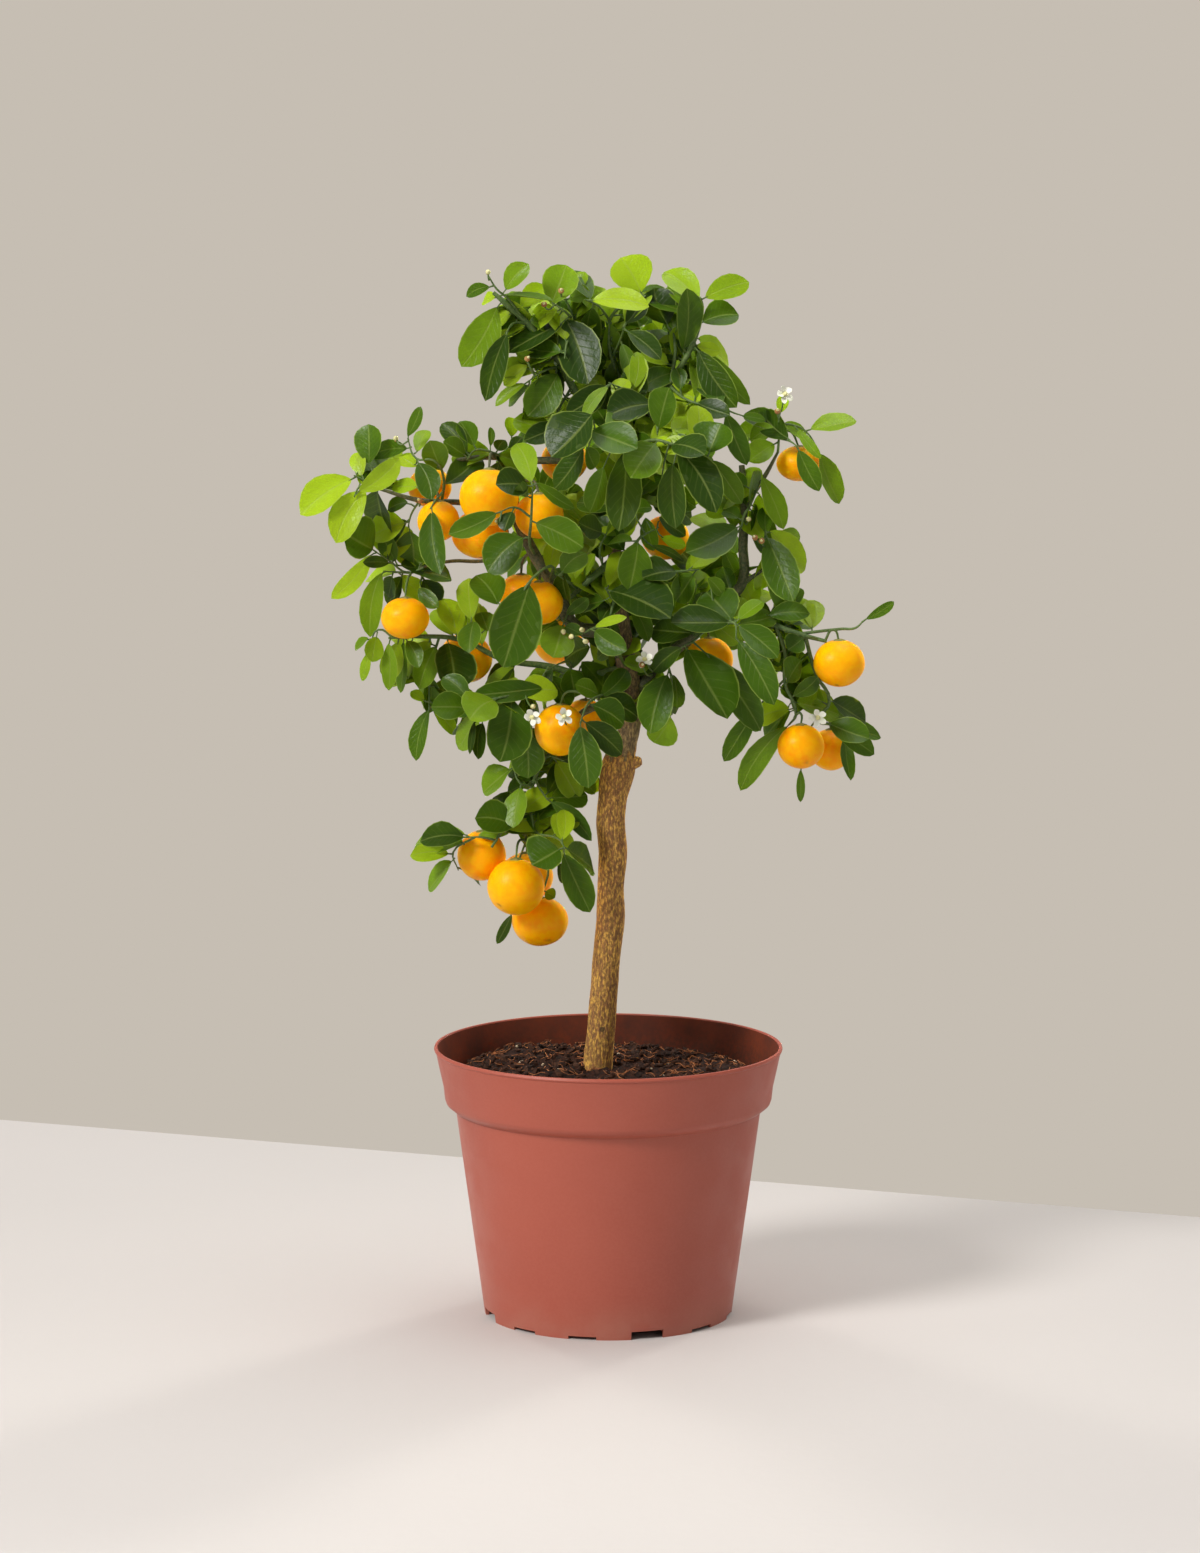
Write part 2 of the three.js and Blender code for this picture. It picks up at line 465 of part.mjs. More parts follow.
    [2, 1.8, [-101, 512, -12], [-105, 521, 6], 'fruit_left_back_a'],
  ], [
    [-97, 508, -106, 530, 15, -4, 1], [-114, 515, -105, 495, 14, -8, 1], [-119, 530, -111, 550, 7, -2, 1],
    [-110, 524, -112, 534, 6, 6, 3], [-114, 512, -124, 520, 9, 6, 3], [-113, 500, -128, 503, 9, 14, 3],
    [-106, 487, -100, 452, 15, -8, 1],
  ]],
  ['shoot_left_arm_low', [
    [1.8, 1.2, [-112, 492, -4], [-117, 484, -2], [-119, 476, 2]],
  ], [
    [-119, 491, -131, 488, 8, 4, 1], [-120, 480, -141, 473, 17, 2, 3], [-118, 474, -116, 455, 20, 8, 1],
  ]],
  ['shoot_left_end', [
    [2.2, 1.4, [-135, 499, -8], [-143, 503, -8], [-151, 507, -9]],
    [1.8, 1.2, [-141, 502, -8], [-148, 500, -11], [-151, 494, -12]],
    [1.6, 1.2, [-141, 502, -8], [-140, 513, -6]],
  ], [
    [-151, 507, -183, 487, 18, -4, 3], [-150, 495, -124, 521, 13, -8, 3], [-142, 514, -142, 540, 16, 3, 1],
    [-144, 498, -162, 470, 18, -4, 3], [-134, 501, -138, 514, 11, 6, 1],
  ]],
  ['shoot_left_low_arm', [
    [2, 1.2, [-110, 452, 2], [-119, 449, 2], [-130, 456, -2], [-139, 462, -4]],
    [2, 1.8, [-117, 449.6, 2], [-120, 443, -8], 'fruit_left_end'],
    [1.8, 1.2, [-119, 449, 2], [-134, 450, 2]],
    [1.8, 1.2, [-114, 450.6, 2], [-110, 446, 8]],
  ], [
    [-138, 463, -157, 475, 22, -4, 1], [-141, 460, -165, 437, 11, 4, 3], [-128, 454, -146, 457, 7, -6, 0],
    [-124, 455, -134, 472, 11, 4, 1], [-135, 449, -142, 414, 13, -4, 2], [-128, 450, -131, 436, 9, 8, 0],
    [-111, 448, -103, 430, 14, 6, 0], [-113, 440, -101, 430, 9, -4, 1],
  ]],
  ['branch_lower_left', [
    [6, 2.6, [9, 392, 0], [-14, 388, 4], [-35, 393, 6], [-62, 397, 4], [-88, 409, 0], [-111, 411, -4], [-131, 410, -8]],
    [2, 1.4, [-101, 410, -2], [-106, 392, 4], [-107, 368, 2]],
    [1.8, 1.2, [-128, 410, -8], [-137, 415, -8], [-142, 405, -6]],
    [1.8, 1.4, [-78, 405, 2], [-80, 414, -8], [-82, 420, -10]],
    [2, 1.8, [-80, 406, 2], [-84, 419, 10], 'fruit_mid_left'],
    [2.8, 1.6, [-35, 393, 6], [-42, 384, -14], [-57, 376, -22], [-66, 374, -26], [-83, 370, -24]],
    [2, 1.4, [-22, 390, 5], [-24, 396, -8], [-37, 391, -20]],
    [2, 1.4, [-76, 372, -24], [-76, 360, -14]],
  ], [
    [-96, 408, -92, 381, 23, -10, 0], [-102, 408, -113, 382, 14, -2, 2], [-121, 409, -113, 394, 10, -8, 1],
    [-131, 407, -131, 381, 9, -2, 2], [-122, 408, -124, 380, 7, 6, 1], [-138, 414, -141, 397, 11, -4, 2],
    [-142, 402, -147, 386, 6, 4, 2], [-143, 410, -151, 404, 6, 2, 2], [-80, 420, -83, 403, 13, -8, 1],
    [-72, 414, -76, 427, 11, 6, 1], [-84, 421, -88, 434, 8, 2, 3], [-105, 390, -107, 367, 10, 8, 1],
    [-107, 367, -115, 339, 10, -2, 1], [-110, 372, -118, 379, 6, 3, 3], [-104, 366, -91, 354, 8, 6, 2],
    [-39, 380, -81, 380, 12, -12, 1], [-66, 374, -83, 363, 19, -10, 2], [-83, 372, -99, 389, 12, 6, 1],
    [-84, 368, -106, 371, 15, -6, 1], [-57, 374, -65, 339, 26, -10, 1], [-75, 359, -78, 340, 9, 4, 0],
    [-80, 360, -83, 343, 4, 2, 0], [-37, 390, -25, 370, 12, -10, 1], [-22, 395, -20, 376, 16, -2, 1],
    [-16, 396, 2, 375, 17, -8, 1],
  ]],
  ['shoot_by_trunk', [
    [2.6, 1.4, [11, 377, 0], [2, 377, -12], [-12, 371, -26], [-17, 359, -33]],
    [2, 1.8, [-8, 373, -22], [-24, 378, -22], 'fruit_by_trunk'],
  ], [
    [-17, 357, -12, 323, 19, -4, 1], [-16, 361, 8, 343, 14, 6, 0], [-13, 372, 9, 360, 15, 4, 1],
    [-6, 376, -20, 384, 9, -6, 1],
  ]],
  ['shoot_hanging', [
    [3.2, 2.8, [-31, 349, 8], [-43, 328, 2], [-46.5, 317, 0]],
    [2, 1.2, [-44, 325, 1], [-40, 318, -4], [-36, 312, -6]],
    [2, 1.4, [-37, 338.6, 5], [-34, 339, 0], [-22, 333, 4]],
    [2, 1.4, [-45, 322, 1], [-53, 323, -6], [-57, 334, -2]],
    [2, 1.4, [-38, 337, 4.6], [-46, 352, -6]],
  ], [
    [-50, 353, -48, 328, 20, -4, 1], [-57, 334, -75, 319, 14, 4, 2], [-52, 324, -57, 298, 13, -8, 2],
    [-36, 312, -10, 291, 10, -6, 1], [-42, 327, -28, 310, 10, 8, 2], [-33, 338, -18, 315, 15, -2, 2],
    [-22, 333, -8, 318, 9, 2, 2],
  ]],
  ['shoot_low_fruit', [
    [2.8, 2.4, [-46.4, 317.6, 0], [-47.4, 308, -1], [-48, 303, 0], [-50, 284, 0]],
    [2.4, 2.2, [-47.4, 309, -1], [-46, 303, -5], [-43.5, 289, -8]],
    [2.8, 2.6, [-47.2, 306, -2], [-58, 301, -9], [-70, 284, -14.5]],
    [1.8, 1.2, [-67, 288, -13], [-76, 290, -15.5], [-85, 290, -15]],
    [1.8, 1.2, [-80, 290, -15], [-93, 281, -9], [-90, 270, -4]],
    [2, 1.4, [-44, 292, -7], [-30, 289, -18], [-26, 283, -26]],
    [2, 1.8, [-49.8, 288, -0.5], [-54, 287, -9], 'fruit_low_b'],
    [2, 1.8, [-49.6, 289, 0], [-49, 292, 10], 'fruit_low_c'],
    [1.8, 1.8, [-44, 291, -7], [-36, 272, -4], 'fruit_low_d'],
    [1.8, 1.8, [-62, 296.8, -10.5], [-72, 298, -6], 'fruit_low_a'],
    [1.6, 1.2, [-50, 286, 0], [-56, 268, -3], [-59, 244, -4]],
  ], [
    [-57, 297, -80, 304, 17, -6, 1], [-58, 296, -34, 299, 12, 12, 0], [-84, 290, -113, 290, 13, -2, 0],
    [-86, 292, -112, 292, 9, 6, 2], [-92, 280, -119, 281, 11, -2, 3], [-90, 278, -108, 260, 13, 4, 2],
    [-88, 271, -77, 263, 8, 8, 0], [-60, 292, -78, 293, 5, 8, 2], [-26, 282, -46, 275, 22, -4, 1],
    [-27, 284, -9, 273, 15, 10, 1], [-27, 280, -11, 248, 16, 2, 1], [-30, 274, -25, 264, 9, 10, 0],
    [-58, 243, -67, 227, 6, 0, 0], [-39, 258, -32, 254, 7, -4, 2],
  ]],
  ['branch_rear_high', [
    [3.4, 1.6, [6, 486, 2], [14, 492, 40], [30, 496, 78], [48, 506, 108]],
    [2.2, 1.4, [22, 494, 60], [10, 508, 84], [-8, 520, 104]],
    [2, 1.8, [30, 496, 78], [36, 494, 86], 'fruit_rear_high'],
  ], [
    [18, 492, 30, 520, 18, 16, 1], [24, 494, 50, 482, 17, 10, 0], [38, 500, 62, 520, 18, 8, 1],
    [48, 506, 60, 530, 16, 14, 1], [48, 506, 70, 500, 15, 20, 2], [44, 504, 36, 526, 16, 16, 1],
    [14, 504, -2, 488, 17, 6, 0], [4, 511, 18, 530, 17, 10, 1], [-8, 520, -30, 516, 17, 12, 0],
    [-8, 520, -14, 542, 15, 16, 1], [-4, 517, 10, 505, 14, 18, 1], [12, 491, 4, 506, 14, 6, 1],
  ]],
  ['branch_rear_left', [
    [3.4, 1.6, [4, 466, 2], [-10, 474, 36], [-30, 482, 70], [-46, 494, 98]],
    [2.2, 1.4, [-20, 478, 54], [-34, 470, 84], [-44, 462, 104]],
  ], [
    [-12, 475, -6, 500, 17, 10, 1], [-22, 479, -40, 500, 18, 8, 0], [-30, 482, -18, 504, 16, 14, 1],
    [-46, 494, -62, 512, 17, 12, 1], [-46, 494, -70, 488, 16, 16, 1], [-42, 490, -30, 516, 15, 20, 0],
    [-30, 473, -20, 454, 17, 8, 0], [-38, 467, -60, 470, 16, 10, 1], [-44, 462, -60, 446, 16, 14, 1],
    [-44, 462, -34, 440, 15, 16, 0],
  ]],
  ['branch_rear_right', [
    [3.4, 1.6, [9, 406, 1], [26, 420, 38], [46, 438, 70], [62, 456, 92]],
    [2.2, 1.4, [36, 429, 54], [52, 424, 84], [64, 420, 104]],
  ], [
    [20, 415, 12, 438, 17, 10, 0], [32, 425, 26, 448, 17, 8, 1], [46, 438, 64, 430, 16, 6, 1],
    [52, 445, 40, 466, 17, 10, 0], [62, 456, 76, 474, 16, 12, 1], [62, 456, 82, 450, 16, 16, 1],
    [60, 454, 54, 478, 15, 16, 0], [50, 424, 44, 402, 16, 8, 1], [64, 420, 80, 408, 16, 10, 1],
    [64, 420, 66, 440, 15, 16, 0], [56, 422, 62, 400, 14, 12, 1],
  ]],
  ['branch_rear_low', [
    [3.4, 1.6, [9, 394, 0], [-4, 404, 36], [-22, 416, 70], [-36, 428, 98]],
    [2.2, 1.4, [-12, 409, 52], [2, 396, 84], [10, 388, 106]],
    [2, 1.8, [-24, 418, 74], [-31, 432, 86], 'fruit_rear_low'],
  ], [
    [-8, 406, -26, 398, 16, 8, 0], [-16, 412, -8, 434, 17, 8, 1], [-28, 421, -46, 412, 16, 6, 1],
    [-36, 428, -54, 438, 16, 12, 1], [-36, 428, -26, 450, 16, 14, 0], [-32, 424, -22, 404, 14, 22, 1],
    [-4, 402, -12, 380, 16, 8, 0], [4, 394, 22, 402, 16, 8, 1], [10, 388, 28, 378, 16, 12, 1],
    [10, 388, -4, 372, 15, 14, 1],
  ]],
  ['branch_rear_top', [
    [3, 1.6, [20, 544, 4], [10, 556, 34], [-2, 572, 60], [-10, 588, 76]],
    [2.2, 1.4, [6, 561, 42], [22, 572, 64], [34, 584, 80]],
  ], [
    [12, 553, -8, 548, 16, 8, 0], [2, 566, -18, 574, 17, 8, 1], [-6, 580, -28, 588, 16, 8, 1],
    [-10, 588, -20, 604, 15, 14, 2], [-10, 588, 8, 598, 15, 12, 1], [14, 567, 30, 556, 17, 8, 0],
    [22, 572, 40, 570, 16, 10, 1], [34, 584, 50, 590, 15, 12, 2], [34, 584, 26, 604, 15, 14, 1],
    [28, 578, 18, 592, 14, 14, 1],
  ]],
];

// Leaf: a short stalk from the twig, then a blade folded a little along its midrib.
const makeLeaf = (root, base, tip, width, index, grow = 0) => {
  const along = tip.clone().sub(base);
  const length = along.length();
  along.normalize();
  const face = V(0.45 * Math.sin(index * 2.4), -0.6 + 0.35 * Math.sin(index * 1.7), 0.65 + 0.3 * Math.sin(index * 3.1));
  const normal = face.clone().addScaledVector(along, -face.dot(along)).normalize();
  const side = along.clone().cross(normal);
  const half = (width * LEAF_WIDE) / 2;
  const spots = [[0.3, half * 0.95, LEAF_T / 2], [0.72, half * 0.86, LEAF_T / 2]];
  const rings = spots.map(([t, reach, thick]) => {
    const middle = base.clone().addScaledVector(along, length * t);
    middle.z -= 0.1 * length * t * t;
    const fold = reach * 0.22;
    const edge = (turn) => middle.clone().addScaledVector(side, turn * (reach + grow)).addScaledVector(normal, fold);
    return [
      middle.clone().addScaledVector(normal, thick + grow), edge(1),
      middle.clone().addScaledVector(normal, -thick - grow), edge(-1),
    ];
  });
  const end = base.clone().addScaledVector(along, length + grow);
  end.z -= 0.1 * length;
  const start = root.clone().addScaledVector(base.clone().sub(root).normalize(), -grow);
  return skin(rings, start, end);
};

// The nearest place on a shoot's stems, judged as the crown is laid out.
const nearest = (stems, x, z) => {
  let best = null;
  stems.forEach(([, , ...rows]) => {
    const points = rows.map(layout);
    for (let i = 0; i + 1 < points.length; i += 1) {
      const [ax, az, ay] = points[i];
      const [bx, bz, by] = points[i + 1];
      const long = (bx - ax) ** 2 + (bz - az) ** 2;
      const full = Math.hypot(bx - ax, bz - az, by - ay);
      const short = i + 2 < points.length ? 0 : 1.6 / full;
      const t = Math.min(Math.max(((x - ax) * (bx - ax) + (z - az) * (bz - az)) / long, 0), 1 - short);
      const spot = [ax + (bx - ax) * t, az + (bz - az) * t, ay + (by - ay) * t];
      const away = Math.hypot(spot[0] - x, spot[1] - z);
      if (!best || away < best.away - 0.01) best = { away, spot };
    }
  });
  return best;
};

// A stem's last point can name a fruit, whose crown the stalk then runs into.
const BITE = 2;
const layout = (row) => {
  if (typeof row !== 'string') return row;
  const [, x, z, y, , h] = FRUITS.find(([name]) => name === row);
  return [x, z + h / 2, y];
};
const spotOf = (row) => {
  if (typeof row !== 'string') return at(...row);
  const [, x, z, y, , h] = FRUITS.find(([name]) => name === row);
  return at(x, z, y).add(V(0, 0, (h / 2) * fruitScale - BITE));
};

const makeStems = (stems, grow = 0) => stems.map(([w0, w1, ...rows]) => {
  const points = rows.map(spotOf);
  return stem(points, taper(points, w0 / 2, w1 / 2), w0 > 3 ? 6 : 4, grow);
});

// Leaves lean nearer or farther until they hang clear of their neighbours.
const LEANS = [0, -7, 7, -14, 14, -21, 21, -28, 28];

const makeShoot = ([, stems, leaves]) => {
  const pieces = makeStems(stems);
  const grown = makeStems(stems, GAP);
  const blades = [];
  leaves.forEach(([bx, bz, tx, tz, width, deep], index) => {
    const { away, spot } = nearest(stems, bx, bz);
    const root = at(...spot);
    const turn = index + Math.round(Math.abs(bx + bz));
    const shape = (lean, grow) => {
      let base = at(bx, bz, spot[2] + (deep + lean) * Math.min(away / 20, 0.5));
      const tip = at(tx, tz, spot[2] + deep + lean);
      if (base.distanceTo(root) < 2.5) base = root.clone().addScaledVector(tip.clone().sub(root).normalize(), 3);
      return makeLeaf(root, base, tip, width, turn, grow);
    };
    let best = null;
    LEANS.forEach((lean) => {
      if (best && best.cost < 1) return;
      const cost = clash(shape(lean, 0), [...placed, ...blades]);
      if (!best || cost < best.cost - 0.5) best = { lean, cost };
    });
    pieces.push(shape(best.lean, 0));
    blades.push(boxed(shape(best.lean, GAP)));
  });
  return { pieces, grown: [...grown, ...blades.map((blade) => blade.solid)] };
};

// ---------------------------------------------------------------- assembly
const tree = new THREE.Group();
tree.name = 'potted_calamondin';

// Adds one body, cut back wherever it would run into one that is already there.
const add = (name, { pieces, grown }, material) => {
  const whole = boxed(union(pieces));
  const tools = placed.filter((other) => meets(whole, other)).map((other) => other.solid);
  const cut = tools.reduce((rest, tool) => rest.subtract(tool), whole.solid);
  const mesh = new THREE.Mesh(geometryFrom(biggest(cut)), material);
  mesh.name = name;
  tree.add(mesh);
  placed.push(...grown.map(boxed));
};

const POT_PLASTIC = paint('pot_plastic', 0xb4604e, 0.55);
const SOIL = paint('potting_mix', 0x2c1c14, 1);
const BARK = paint('bark', 0x83603c, 0.9);
const TWIG = paint('green_wood', 0x3c4420, 0.7);
const RIND = paint('rind', 0xff9a08, 0.4);
const LEAF = paint('leaf', 0x4f7a22, 0.4);

const trunkTool = makeTrunk(GAP);
const pot = new THREE.Mesh(geometryFrom(makePot()), POT_PLASTIC);
pot.name = 'pot';
const soil = new THREE.Mesh(geometryFrom(biggest(makeSoil().subtract(trunkTool))), SOIL);
soil.name = 'potting_soil';
tree.add(pot, soil);

add('trunk', { pieces: [makeTrunk()], grown: [trunkTool] }, BARK);
FRUITS.forEach((row) => add(row[0], { pieces: [makeFruit(row)], grown: [makeFruit(row, GAP)] }, RIND));
LIMBS.forEach((row) => add(row[0], { pieces: makeStems(row[1]), grown: makeStems(row[1], GAP) }, TWIG));
SHOOTS.forEach((row) => add(row[0], makeShoot(row), LEAF));

export default tree;
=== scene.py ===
import math
import random

import bpy
import numpy as np
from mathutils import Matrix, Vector, noise
from mathutils.kdtree import KDTree


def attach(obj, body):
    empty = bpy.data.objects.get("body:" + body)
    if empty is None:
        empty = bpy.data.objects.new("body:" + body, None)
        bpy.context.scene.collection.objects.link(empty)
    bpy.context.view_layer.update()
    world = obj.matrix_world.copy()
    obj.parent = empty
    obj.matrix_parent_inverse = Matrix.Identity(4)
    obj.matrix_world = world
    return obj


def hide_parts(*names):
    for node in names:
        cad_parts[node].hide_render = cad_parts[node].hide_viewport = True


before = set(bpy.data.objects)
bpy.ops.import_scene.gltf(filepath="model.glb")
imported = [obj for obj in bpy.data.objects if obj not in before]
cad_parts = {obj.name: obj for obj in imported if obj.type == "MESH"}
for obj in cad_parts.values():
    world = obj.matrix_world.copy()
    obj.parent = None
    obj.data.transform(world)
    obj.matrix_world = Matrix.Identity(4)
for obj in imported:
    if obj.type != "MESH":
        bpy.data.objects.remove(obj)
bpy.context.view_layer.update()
bpy.ops.object.select_all(action="DESELECT")

# ---------------------------------------------------------------- the stage
# The pot stands on a pale floor whose far edge runs at a slant, in front of a plain warm backdrop.
# A broad soft lamp stands high at the front left and one hangs overhead; two narrow ones shine through the
# leaves from behind.
EYE = (-0.005, -2.8, 0.7088)
LOOK_DOWN = math.radians(82.23)
BACKDROP = (0.565, 0.515, 0.450, 1)
ROOM_LIGHT = (0.60, 0.58, 0.55, 1)
ROOM_STRENGTH = 0.72
FLOOR_COLOUR = (0.572, 0.540, 0.522, 1)
FLOOR_WORN = (0.560, 0.529, 0.511, 1)
FLOOR_EDGE = ((-0.439, 0.556), (0.390, 0.246))

lens = bpy.data.cameras.new("camera")
lens.sensor_width = 36
lens.lens = 109.5
eye = bpy.data.objects.new("camera", lens)
eye.location = EYE
eye.rotation_euler = (LOOK_DOWN, 0, 0)
bpy.context.scene.collection.objects.link(eye)
bpy.context.scene.camera = eye
bpy.context.scene.view_settings.view_transform = "Standard"

sky = bpy.data.worlds.new("backdrop")
sky.use_nodes = True
seen = sky.node_tree.nodes["Background"]
seen.inputs["Color"].default_value = BACKDROP
room = sky.node_tree.nodes.new("ShaderNodeBackground")
room.inputs["Color"].default_value = ROOM_LIGHT
room.inputs["Strength"].default_value = ROOM_STRENGTH
path = sky.node_tree.nodes.new("ShaderNodeLightPath")
blend = sky.node_tree.nodes.new("ShaderNodeMixShader")
for source, socket in ((path.outputs["Is Camera Ray"], 0), (room.outputs[0], 1), (seen.outputs[0], 2)):
    sky.node_tree.links.new(source, blend.inputs[socket])
sky.node_tree.links.new(blend.outputs[0], sky.node_tree.nodes["World Output"].inputs["Surface"])
bpy.context.scene.world = sky


# Each lamp: name, place, what it is turned to, width, watts, colour, spread in degrees.
ALL_ROUND = 180.0
LAMPS = [
    ("key_lamp", (-4.65, -3.9, 4.65), (0, 0, 0.3), 2.25, 490, (1.0, 0.985, 0.96), ALL_ROUND),
    ("top_lamp", (0.5, 0.3, 3.5), (0, 0, 0.2), 2.6, 58, (1.0, 0.99, 0.97), ALL_ROUND),
    ("back_lamp_left", (-1.1, 1.7, 0.85), (-0.02, 0, 0.48), 0.6, 1.6, (1.0, 0.98, 0.92), 28),
    ("back_lamp_right", (1.2, 1.6, 0.90), (0.03, 0, 0.53), 0.6, 2.8, (1.0, 0.98, 0.92), 28),
]
for name, place, target, size, watts, colour, spread in LAMPS:
    lamp = bpy.data.lights.new(name, "AREA")
    lamp.shape = "DISK"
    lamp.size = size
    lamp.energy = watts
    lamp.color = colour
    lamp.spread = math.radians(spread)
    holder = bpy.data.objects.new(name, lamp)
    holder.location = place
    holder.rotation_euler = (Vector(target) - Vector(place)).to_track_quat("-Z", "Y").to_euler()
    holder.visible_camera = False
    holder.visible_glossy = spread == ALL_ROUND  # the narrow ones aren't mirrored in the leaves
    bpy.context.scene.collection.objects.link(holder)


def finish_for(name, roughness):
    """A new material; returns it with its node tree and its one Principled shader."""
    made = bpy.data.materials.new(name)
    made.use_nodes = True
    shader = made.node_tree.nodes["Principled BSDF"]
    shader.inputs["Roughness"].default_value = roughness
    return made, made.node_tree, shader


def group_of(name, inputs, outputs):
    """A new node group with these sockets; returns it with its input and output nodes."""
    group = bpy.data.node_groups.new(name, "ShaderNodeTree")
    for label, kind, value in inputs:
        socket = group.interface.new_socket(label, in_out="INPUT", socket_type="NodeSocket" + kind)
        socket.default_value = value
    for label, kind in outputs:
        group.interface.new_socket(label, in_out="OUTPUT", socket_type="NodeSocket" + kind)
    return group, group.nodes.new("NodeGroupInput"), group.nodes.new("NodeGroupOutput")


def feed(tree, socket, source):
    """Link an input to its source, or set it to a plain value."""
    if isinstance(source, bpy.types.NodeSocket):
        tree.links.new(source, socket)
    else:
        socket.default_value = source


def node_in(tree, kind, links=(), **values):
    """A node of this kind; links are (its input, socket) and values set its own properties."""
    node = tree.nodes.new("ShaderNode" + kind)
    for key, value in values.items():
        setattr(node, key, value)
    for key, source in links:
        feed(tree, node.inputs[key], source)
    return node


def ramp_in(tree, source, low, high, start=0.0, end=1.0):
    """The source's span from low to high, spread smoothly from start to end."""
    links = [("Value", source), ("From Min", low), ("From Max", high), ("To Min", start), ("To Max", end)]
    return node_in(tree, "MapRange", links, interpolation_type="SMOOTHSTEP").outputs["Result"]


def mix_in(tree, share, first, second):
    """Two colours mixed by share."""
    node = node_in(tree, "Mix", data_type="RGBA")
    for index, source in ((0, share), (6, first), (7, second)):
        feed(tree, node.inputs[index], source)
    return node.outputs[2]


def math_in(tree, operation, first, second=0.0):
    return node_in(tree, "Math", [(0, first), (1, second)], operation=operation).outputs[0]


def place_in(tree):
    return node_in(tree, "TexCoord").outputs["Object"]


def stretched_place(group, given):
    """Where a spot is on the piece, with its height scaled by the group's Upright."""
    stretch = node_in(group, "CombineXYZ", [("X", 1.0), ("Y", 1.0), ("Z", given.outputs["Upright"])])
    links = [(0, place_in(group)), (1, stretch.outputs[0])]
    return node_in(group, "VectorMath", links, operation="MULTIPLY").outputs[0]


def build_mottle():
    """Uneven colour: two tones in soft patches of a chosen size, stretched upwards if asked."""
    group, given, result = group_of(
        "mottle",
        [("First", "Color", (0, 0, 0, 1)), ("Second", "Color", (1, 1, 1, 1)), ("Scale", "Float", 10.0),
         ("Upright", "Float", 1.0), ("Spread", "Float", 0.2)],
        [("Color", "Color"), ("Mask", "Float")],
    )
    spot = stretched_place(group, given)
    cloud = node_in(group, "TexNoise", [("Vector", spot), ("Scale", given.outputs["Scale"]), ("Detail", 5.0)])
    low = math_in(group, "SUBTRACT", 0.5, given.outputs["Spread"])
    high = math_in(group, "ADD", 0.5, given.outputs["Spread"])
    mask = ramp_in(group, cloud.outputs["Fac"], low, high)
    tone = mix_in(group, mask, given.outputs["First"], given.outputs["Second"])
    group.links.new(tone, result.inputs["Color"])
    group.links.new(mask, result.inputs["Mask"])
    return group


def build_fine_grain():
    """A fine raised grain for bump: its height, from 0 to 1."""
    group, given, result = group_of(
        "fine_grain", [("Scale", "Float", 500.0), ("Upright", "Float", 1.0)], [("Height", "Float")])
    spot = stretched_place(group, given)
    cloud = node_in(group, "TexNoise", [("Vector", spot), ("Scale", given.outputs["Scale"]), ("Detail", 3.0)])
    group.links.new(cloud.outputs["Fac"], result.inputs["Height"])
    return group


MOTTLE = build_mottle()
FINE_GRAIN = build_fine_grain()


def mottle_in(tree, first, second, scale, spread=0.2, upright=1.0):
    node = node_in(tree, "Group", node_tree=MOTTLE)
    for label, value in (("First", first), ("Second", second), ("Scale", scale), ("Spread", spread),
                         ("Upright", upright)):
        feed(tree, node.inputs[label], value)
    return node.outputs["Color"], node.outputs["Mask"]


def grain_in(tree, scale, upright=1.0):
    node = node_in(tree, "Group", node_tree=FINE_GRAIN)
    node.inputs["Scale"].default_value = scale
    node.inputs["Upright"].default_value = upright
    return node.outputs["Height"]


def bump_in(tree, shader, height, depth, strength=1.0, under=None):
    links = [("Height", height), ("Distance", depth), ("Strength", strength)]
    node = node_in(tree, "Bump", links + ([("Normal", under)] if under else []))
    tree.links.new(node.outputs["Normal"], shader.inputs["Normal"])
    return node.outputs["Normal"]


def plain_finish(name, roughness, tones, scale, spread, grain, depth, strength):
    """Two tones in soft patches over a fine grain; grain is its fineness and its upright stretch."""
    made, tree, shader = finish_for(name, roughness)
    tone, _ = mottle_in(tree, *tones, scale, spread)
    tree.links.new(tone, shader.inputs["Base Color"])
    bump_in(tree, shader, grain_in(tree, *grain), depth, strength)
    return made, shader


def select_only(piece):
    bpy.ops.object.select_all(action="DESELECT")
    bpy.context.view_layer.objects.active = piece
    piece.select_set(True)


def turn_outwards(merge=None):
    """The active piece's faces turned outwards, after points nearer than merge are joined."""
    bpy.ops.object.mode_set(mode="EDIT")
    bpy.ops.mesh.select_all(action="SELECT")
    if merge:
        bpy.ops.mesh.remove_doubles(threshold=merge)
    bpy.ops.mesh.normals_make_consistent(inside=False)
    bpy.ops.object.mode_set(mode="OBJECT")


def shell(name, points, faces):
    """A new mesh object at the origin, alone and selected."""
    mesh = bpy.data.meshes.new(name)
    mesh.from_pydata([tuple(p) for p in points], [], faces)
    made = bpy.data.objects.new(name, mesh)
    bpy.context.scene.collection.objects.link(made)
    select_only(made)
    return made


(floor_left_x, floor_left_y), (floor_right_x, floor_right_y) = FLOOR_EDGE
slant = (floor_right_y - floor_left_y) / (floor_right_x - floor_left_x)
floor = shell("floor", [(-3, -4, 0), (3, -4, 0), (3, floor_right_y + slant * (3 - floor_right_x), 0),
                        (-3, floor_left_y + slant * (-3 - floor_left_x), 0)], [(0, 1, 2, 3)])
floor_finish, _ = plain_finish("pale_floor", 0.75, (FLOOR_COLOUR, FLOOR_WORN), 3.0, 0.3, (120.0,), 0.0004, 0.3)
floor.data.materials.append(floor_finish)

